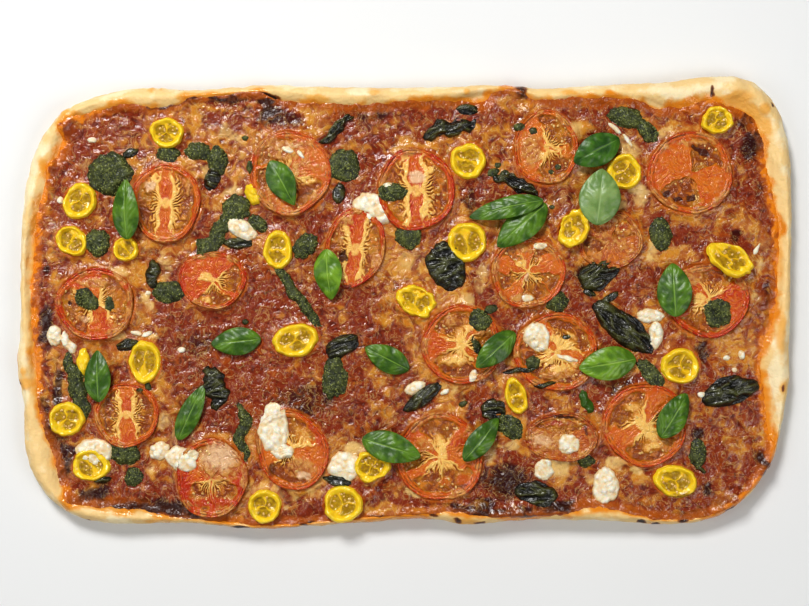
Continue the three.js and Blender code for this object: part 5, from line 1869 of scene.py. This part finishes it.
@dataclass
class BakedLump:
    """Lump of pesto, soft cheese or shrunken basil, draped over what carries it."""

    kind: Baked
    around: int = 72
    across: int = 20
    foot: float = 1.2
    slender: float = 2.2
    base_seed: int = 900

    @staticmethod
    def _stray(grain: Grain, along: Array, aside: Array) -> Array:
        """Bends a streak to either side and thins it here and there along its length."""
        path = columns(along, 0, 0).reshape(-1, 3)
        bend = grain.smooth(path, 10).reshape(along.shape)
        thick = grain.smooth(path + 60, 5).reshape(along.shape)
        return aside * (1 + 0.5 * thick) + 0.8 * np.abs(aside).max() * bend

    def _relief(self, grain: Grain, flat: Array, shape: tuple) -> Array:
        """Fine form of the surface, from about -1 to 1, by what the lump is."""
        if self.kind is Baked.PESTO:
            relief = sum(k * grain.smooth(flat, size) for k, size in ((0.7, 5), (0.6, 2.2), (0.4, 1.3)))
        elif self.kind is Baked.CHEESE:
            relief = 0.8 * (grain.bubbles(flat, 5.5, 1.0) - 0.4) + 0.4 * grain.smooth(flat, 2)
        else:
            long = flat * (0.4, 1, 1)
            relief = 1.0 - 3.2 * np.abs(grain.smooth(long, 5)) + 0.7
            relief = 0.75 * (relief - 2.2 * np.abs(grain.smooth(long + 40, 2.6)))
        return relief.reshape(shape)

    def _outline(self, grain: Grain, angle: Array, seed: int) -> Array:
        """Share of the radii that the edge reaches in each direction."""
        lobes = 0.2 if self.kind is Baked.PESTO else 0.16
        outline = 1.06 + lobes * grain.rough(polar(9, angle, 3.0 * seed), 6, 3).reshape(angle.shape)
        if self.kind is Baked.WILTED:
            outline = outline * (0.8 + 0.3 * np.abs(np.cos(angle)) ** 3 + 0.1 * np.abs(np.sin(angle)))
        return outline

    def form(self, seed: int, lump: Lump, ground: Ground) -> tuple[Array, list, Array, Array]:
        """Shapes one lump.

        Args:
            seed: Seed of its unevenness.
            lump: Its place and height.
            ground: What carries it.

        Returns:
            Points, faces and the masks high and edge, which place the painted highlight and the painted shade.
        """
        grain = Grain(self.base_seed + seed)
        share, angle = grid(self.around, self.across)
        lobes = self._outline(grain, angle, seed)
        u, v = lump.radii[0] * share * lobes * np.cos(angle), lump.radii[1] * share * lobes * np.sin(angle)
        if lump.radii[0] > self.slender * lump.radii[1]:
            v = self._stray(grain, u, v)
        elif lump.radii[1] > self.slender * lump.radii[0]:
            u = self._stray(grain, v, u)
        x, y = lump.spread(u, v)
        below = ground.height(x, y, BED_LEVEL)
        relief = self._relief(grain, columns(u, v, 4.0 * seed).reshape(-1, 3), x.shape)
        dome = np.clip(1 - share**2.4, 0, 1) ** (0.75 if self.kind is Baked.PESTO else 0.5)
        crumple = 0.36 if self.kind is Baked.WILTED else 0.24
        height = lump.rise * (0.8 * dome + crumple * relief * ease(1.0, 0.8, share)) - 0.3 * share**4
        level = mix(below, np.broadcast_to(below.mean(), below.shape), 0.35 * (1 - share)) + height
        foot = columns(x[-1], y[-1], below[-1] - self.foot)
        inner = mix(foot, np.array((*lump.centre(), foot[:, 2].mean())), 0.4)
        rings = np.concatenate([columns(x, y, level), foot[None], inner[None]])
        points, faces = shell(rings, *((*lump.centre(), ring[:, 2].mean()) for ring in (rings[0], inner)))
        # high places the painted highlight on the raised points and the painted shade in the hollows; edge lays
        # painted shade round the rim.
        high, edge = (over_shell(mask, 0.0, 2) for mask in (0.5 + 0.5 * relief, ease(0.7, 1.0, share)))
        return points, faces, high, edge

    def build(
        self, name: str, seed: int, lumps: Sequence[Lump], ground: Ground, material: Material
    ) -> Piece:
        """Makes one piece of one or more lumps.

        Args:
            name: Name of the piece.
            seed: Seed of its unevenness.
            lumps: Place and height of each lump.
            ground: What carries them.
            material: Their finish.

        Returns:
            The piece, painted and finished.
        """
        forms = [self.form(seed + 7 * k, lump, ground) for k, lump in enumerate(lumps)]
        faces, start = [], 0
        for points, own, _, _ in forms:
            faces += [[start + v for v in face] for face in own]
            start += len(points)
        points, high, edge = (np.concatenate([form[k] for form in forms]) for k in (0, 2, 3))
        piece = make_piece(name, points, faces, material)
        # Masks of the painted highlight and painted shade.
        paint(piece, "lump", high, edge)
        return piece


# Strewn bits.
class Scatter(Wiring):
    """Strews one small shape over a surface with Geometry Nodes."""

    INPUTS = {"Density": 2e5, "Length": 2.0 * MM, "Width": 1.4 * MM, "Thickness": 0.8 * MM, "Lift": 0.1 * MM}
    TURNS = ((-0.35, -0.35, 0.0), (0.35, 0.35, 6.28))

    def __init__(self, name: str, seed: int, material: Material) -> None:
        """Builds the tree.

        Args:
            name: Name of the tree.
            seed: Seed of the places and sizes.
            material: Finish of the bits.
        """
        super().__init__(bpy.data.node_groups.new(name, "GeometryNodeTree"))
        face = self.tree.interface
        face.new_socket("Surface", in_out="INPUT", socket_type="NodeSocketGeometry")
        self.ids = {}
        for label, value in self.INPUTS.items():
            socket = face.new_socket(label, in_out="INPUT", socket_type="NodeSocketFloat")
            socket.default_value = value
            self.ids[label] = socket.identifier
        face.new_socket("Bits", in_out="OUTPUT", socket_type="NodeSocketGeometry")
        given = self.add("NodeGroupInput").outputs
        mask = self.add("GeometryNodeInputNamedAttribute", {"Name": SPRINKLE}, data_type="FLOAT")
        inputs = {0: mask.outputs["Attribute"], 1: given["Density"]}
        density = self.add("ShaderNodeMath", inputs, operation="MULTIPLY").outputs[0]
        inputs = {"Seed": seed, "Mesh": given["Surface"], "Density": density}
        spread = self.add("GeometryNodeDistributePointsOnFaces", inputs).outputs
        bit = self.add("GeometryNodeMeshUVSphere", {"Segments": 6, "Rings": 4, "Radius": 0.5}).outputs["Mesh"]
        sizes = {k: given[label] for k, label in enumerate(("Length", "Width", "Thickness"))}
        size = self.add("ShaderNodeCombineXYZ", sizes).outputs[0]
        shape = self.add("GeometryNodeTransform", {"Geometry": bit, "Scale": size}).outputs[0]
        twist = self._random("FLOAT_VECTOR", *self.TURNS, seed + 1)
        turn = self.add("FunctionNodeEulerToRotation", {0: twist}).outputs[0]
        inputs = {"Rotation": spread["Rotation"], "Rotate By": turn}
        aim = self.add("FunctionNodeRotateRotation", inputs, rotation_space="LOCAL").outputs[0]
        inputs = {0: spread["Normal"], "Scale": given["Lift"]}
        lift = self.add("ShaderNodeVectorMath", inputs, operation="SCALE").outputs[0]
        inputs = {"Geometry": spread["Points"], "Offset": lift}
        raised = self.add("GeometryNodeSetPosition", inputs).outputs[0]
        scale = self._random("FLOAT", 0.7, 1.2, seed + 2)
        inputs = {"Points": raised, "Instance": shape, "Rotation": aim, "Scale": scale}
        bits = self.add("GeometryNodeInstanceOnPoints", inputs).outputs[0]
        bits = self.add("GeometryNodeRealizeInstances", {0: bits}).outputs[0]
        bits = self.add("GeometryNodeSetShadeSmooth", {"Geometry": bits}).outputs[0]
        bits = self.add("GeometryNodeSetMaterial", {"Material": material, "Geometry": bits}).outputs[0]
        self.add("NodeGroupOutput", {0: bits})

    def _random(self, kind: str, low: object, high: object, seed: int) -> Socket:
        """Random value between two limits.

        Args:
            kind: FLOAT or FLOAT_VECTOR.
            low: Lowest value.
            high: Highest value.
            seed: Seed of the values.

        Returns:
            The socket that gives the value.
        """
        node = self.add("FunctionNodeRandomValue", data_type=kind)
        inputs = [s for s in node.inputs if s.enabled]
        for socket, value in zip((*inputs[:2], inputs[-1]), (low, high, seed)):
            socket.default_value = value
        return next(s for s in node.outputs if s.enabled)

    def strew(self, name: str, over: Piece, **sizes: float) -> Piece:
        """Strews the bits over a surface as one plain mesh.

        Args:
            name: Name of the new piece.
            over: Surface that carries the bits, which is removed afterwards.
            sizes: Values of the tree's inputs, by name.

        Returns:
            The new piece.
        """
        modifier = over.modifiers.new("scatter", "NODES")
        modifier.node_group = self.tree
        for label, value in sizes.items():
            modifier[self.ids[label]] = float(value)
        mesh = evaluated_mesh(over)
        over.modifiers.remove(modifier)
        bpy.data.objects.remove(over)
        return placed(name, mesh)


def carrier_of(pieces: Sequence[Piece], mask: Callable[[Piece], Array]) -> Piece:
    """Joins the upper faces of pieces into one surface to strew bits over.

    Args:
        pieces: The pieces.
        mask: Gives the share of bits for each point of a piece.

    Returns:
        One object that carries the mask.
    """
    faces, start = [], 0
    for piece in pieces:
        faces += [[start + v for v in face.vertices] for face in piece.data.polygons if face.normal.z > 0.2]
        start += len(piece.data.vertices)
    mesh = bpy.data.meshes.new("carrier")
    mesh.from_pydata((np.vstack([points_of(piece) for piece in pieces]) * MM).tolist(), [], faces)
    values = np.concatenate([mask(piece) for piece in pieces])
    mesh.attributes.new(SPRINKLE, "FLOAT", "POINT").data.foreach_set("value", values.astype(np.float32))
    return placed("carrier", mesh)


def gel_on(piece: Piece) -> Array:
    """Reads back where a slice was painted as gel."""
    flat = np.zeros(len(piece.data.vertices) * 4, np.float32)
    piece.data.attributes["cut"].data.foreach_get("color", flat)
    return flat.reshape(-1, 4)[:, 1]


# Stage.
@dataclass
class Studio:
    """Camera straight above, soft light and a plain pale floor."""

    floor_half: float = 2.0
    floor_colour: Colour = (0.8, 0.8, 0.79)
    key_place: tuple[float, float, float] = (-0.45, 0.95, 1.25)
    key_size: float = 0.4
    key_power: float = 19.0
    fill_place: tuple[float, float, float] = (1.0, -0.6, 1.25)
    fill_size: float = 0.8
    fill_power: float = 7.5
    side_place: tuple[float, float, float] = (-1.1, -0.3, 1.2)
    side_power: float = 4.5
    sky: float = 0.13

    def camera(self) -> None:
        """Puts the camera where the photograph was taken from."""
        camera = placed("above", bpy.data.cameras.new("above"))
        camera.data.angle = 2 * math.atan(0.5 * PHOTO_SIZE[0] * MM_PER_PIXEL / (EYE_HEIGHT - EDGE_LEVEL))
        x, y = from_photo((0.5 * PHOTO_SIZE[0], 0.5 * PHOTO_SIZE[1]), EDGE_LEVEL)
        camera.location = (x * MM, y * MM, EYE_HEIGHT * MM)
        bpy.context.scene.camera = camera

    def _lamp(self, name: str, place: Sequence[float], size: float, power: float) -> None:
        """Adds a square lamp that looks at the pizza."""
        lamp = placed(name, bpy.data.lights.new(name, "AREA"))
        lamp.data.shape = "SQUARE"
        lamp.data.size = size
        lamp.data.energy = power
        lamp.location = place
        lamp.rotation_euler = (-Vector(place)).to_track_quat("-Z", "Y").to_euler()

    def light(self) -> None:
        """Soft light from the top left, weaker light from both sides, and a pale surrounding."""
        self._lamp("key", self.key_place, self.key_size, self.key_power)
        self._lamp("fill", self.fill_place, self.fill_size, self.fill_power)
        self._lamp("side", self.side_place, self.fill_size, self.side_power)
        world = bpy.data.worlds.new("surrounding")
        world.use_nodes = True
        backdrop = world.node_tree.nodes["Background"]
        backdrop.inputs["Color"].default_value = (0.95, 0.98, 1.0, 1.0)
        backdrop.inputs["Strength"].default_value = self.sky
        bpy.context.scene.world = world
        bpy.context.scene.view_settings.view_transform = "Standard"
        bpy.context.scene.view_settings.look = "Medium High Contrast"

    def floor(self) -> Piece:
        """Makes the floor."""
        sketch = Sketch("pale_floor", 0.8)
        node = sketch.add("ShaderNodeMix", data_type="RGBA")
        darker = tuple(0.97 * c for c in self.floor_colour)
        for key, value in {0: sketch.noise(120, 2), 6: self.floor_colour, 7: darker}.items():
            sketch.set(node.inputs[key], value)
        h = self.floor_half / MM
        corners = ((-h, -h, 0), (h, -h, 0), (h, h, 0), (-h, h, 0))
        return make_piece("floor", corners, [[0, 1, 2, 3]], sketch.finish(node.outputs[2]))

    def build(self) -> None:
        """Sets up camera, light and floor."""
        self.camera()
        self.light()
        self.floor()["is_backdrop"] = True


def deliver(piece: Piece, slot: str, *nodes: str) -> Piece:
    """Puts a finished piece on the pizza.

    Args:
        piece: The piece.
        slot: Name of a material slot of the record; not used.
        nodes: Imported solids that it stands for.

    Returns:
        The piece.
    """
    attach(piece, BODY)
    if nodes:
        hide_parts(*nodes)
    log.info("%s: %d faces", piece.name, len(piece.data.polygons))
    return piece


def bake_lumps(bed: Piece, reds: Sequence[Piece], finishes: dict[Baked, Material]) -> list[Piece]:
    """Makes every single lump.

    Args:
        bed: The melted layer.
        reds: The red slices.
        finishes: Finish of each kind of lump.

    Returns:
        The lumps of pesto.
    """
    pesto = []
    ground = Ground(bed)
    for kind, lumps in ((Baked.PESTO, PESTO), (Baked.CHEESE, CHEESE_LUMPS), (Baked.WILTED, WILTED_LEAVES)):
        for number, lump in enumerate(lumps, 1):
            name, seed = f"{kind.value}_{number:02d}", number + 40 * len(kind.value)
            piece = BakedLump(kind).build(name, seed, [lump], ground, finishes[kind])
            deliver(piece, kind.value, "melted_bed")
            if kind is Baked.PESTO:
                pesto.append(piece)
    for count, (kind, number, lump) in enumerate(LUMPS_ON_SLICES, 1):
        name = f"{kind.value}_on_slice_{count:02d}"
        piece = BakedLump(kind).build(name, 500 + count, [lump], Ground(reds[number - 1]), finishes[kind])
        deliver(piece, kind.value, f"tomato_slice_{number:02d}")
        if kind is Baked.PESTO:
            pesto.append(piece)
    return pesto


def main() -> None:
    """Builds the pizza from the dough up."""
    Studio().build()
    line = SauceLine(SAUCE_EDGE, 0.9, 1.0)
    crust = deliver(DoughBase().build(line), "dough", "crust")
    bed = MeltedBed().build(line, crust, [*RED_SLICES, *YELLOW_SLICES])
    deliver(bed, "melted_cheese_and_sauce", "melted_bed")
    looks = {key: finish.material() for key, finish in RED_FINISHES.items()}
    reds, yellows = [], []
    for number, entry in enumerate(RED_SLICES, 1):
        piece = TomatoSlice().build(number, entry, looks[entry.tone])
        reds.append(deliver(piece, "red_tomato", f"tomato_slice_{number:02d}"))
    yellow = YellowTomatoFinish().material()
    for number, entry in enumerate(YELLOW_SLICES, 1):
        piece = YellowTomato().build(number, entry, yellow)
        yellows.append(deliver(piece, "yellow_tomato", f"yellow_tomato_{number:02d}"))
    looks = {key: finish.material() for key, finish in {**BASIL_FINISHES, **LUMP_FINISHES}.items()}
    for number, leaf in enumerate(BASIL_LEAVES, 1):
        piece = BasilLeaf().build(number, leaf, looks[leaf.shade])
        deliver(piece, "fresh_basil", f"basil_leaf_{number:02d}")
    pesto = bake_lumps(bed, reds, looks)
    ground, every = Ground(bed), Ground(bed, *reds)
    strewn = (("cheese_crumbs", Baked.CHEESE, CHEESE_CRUMBS), ("pesto_bits", Baked.PESTO, PESTO_BITS),
              ("wilted_bits", Baked.WILTED, BASIL_BITS))
    for name, kind, lumps in strewn:
        deliver(BakedLump(kind, 32, 8, 0.6).build(name, 600, lumps, every, looks[kind]), kind.value)
    piece = BakedLump(Baked.CHEESE, 40, 12).build("yellow_slivers", 700, YELLOW_SLIVERS, ground, yellow)
    even = np.ones(len(piece.data.vertices))
    paint(piece, "cut", 0.8 * even, 0.2 * even, 0 * even, 0 * even)
    deliver(piece, "yellow_tomato")
    scrap = BakedLump(Baked.WILTED, 48, 14)
    piece = scrap.build("fresh_scrap", 710, [FRESH_SCRAP], ground, looks[Shade.BRIGHT])
    deliver(piece, "fresh_basil", "melted_bed")
    look = PlainFinish("tomato_seed", (0.62, 0.36, 0.1), (0.82, 0.58, 0.24)).material()
    seeds = Scatter("tomato_seeds", 11, look)
    deliver(seeds.strew("red_tomato_seeds", carrier_of(reds, gel_on), Density=2.2e4), "red_tomato")
    deliver(seeds.strew("yellow_tomato_seeds", carrier_of(yellows, gel_on), Density=6e4), "yellow_tomato")
    look = PlainFinish("herb_fleck", (0.03, 0.042, 0.006), (0.3, 0.33, 0.09), 0.36).material()
    carrier = carrier_of(pesto, lambda piece: np.ones(len(piece.data.vertices)))
    sizes = {"Density": 6e5, "Length": 1 * MM, "Width": 0.65 * MM, "Thickness": 0.45 * MM, "Lift": 0.12 * MM}
    deliver(Scatter("herb_flecks", 23, look).strew("pesto_flecks", carrier, **sizes), "pesto")
    sizes = {"cad": [list(corner) for corner in CAD_BOX], "visual": [list(corner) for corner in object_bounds()]}


if __name__ == "__main__":
    logging.basicConfig(level=logging.INFO, format="%(message)s")
    main()
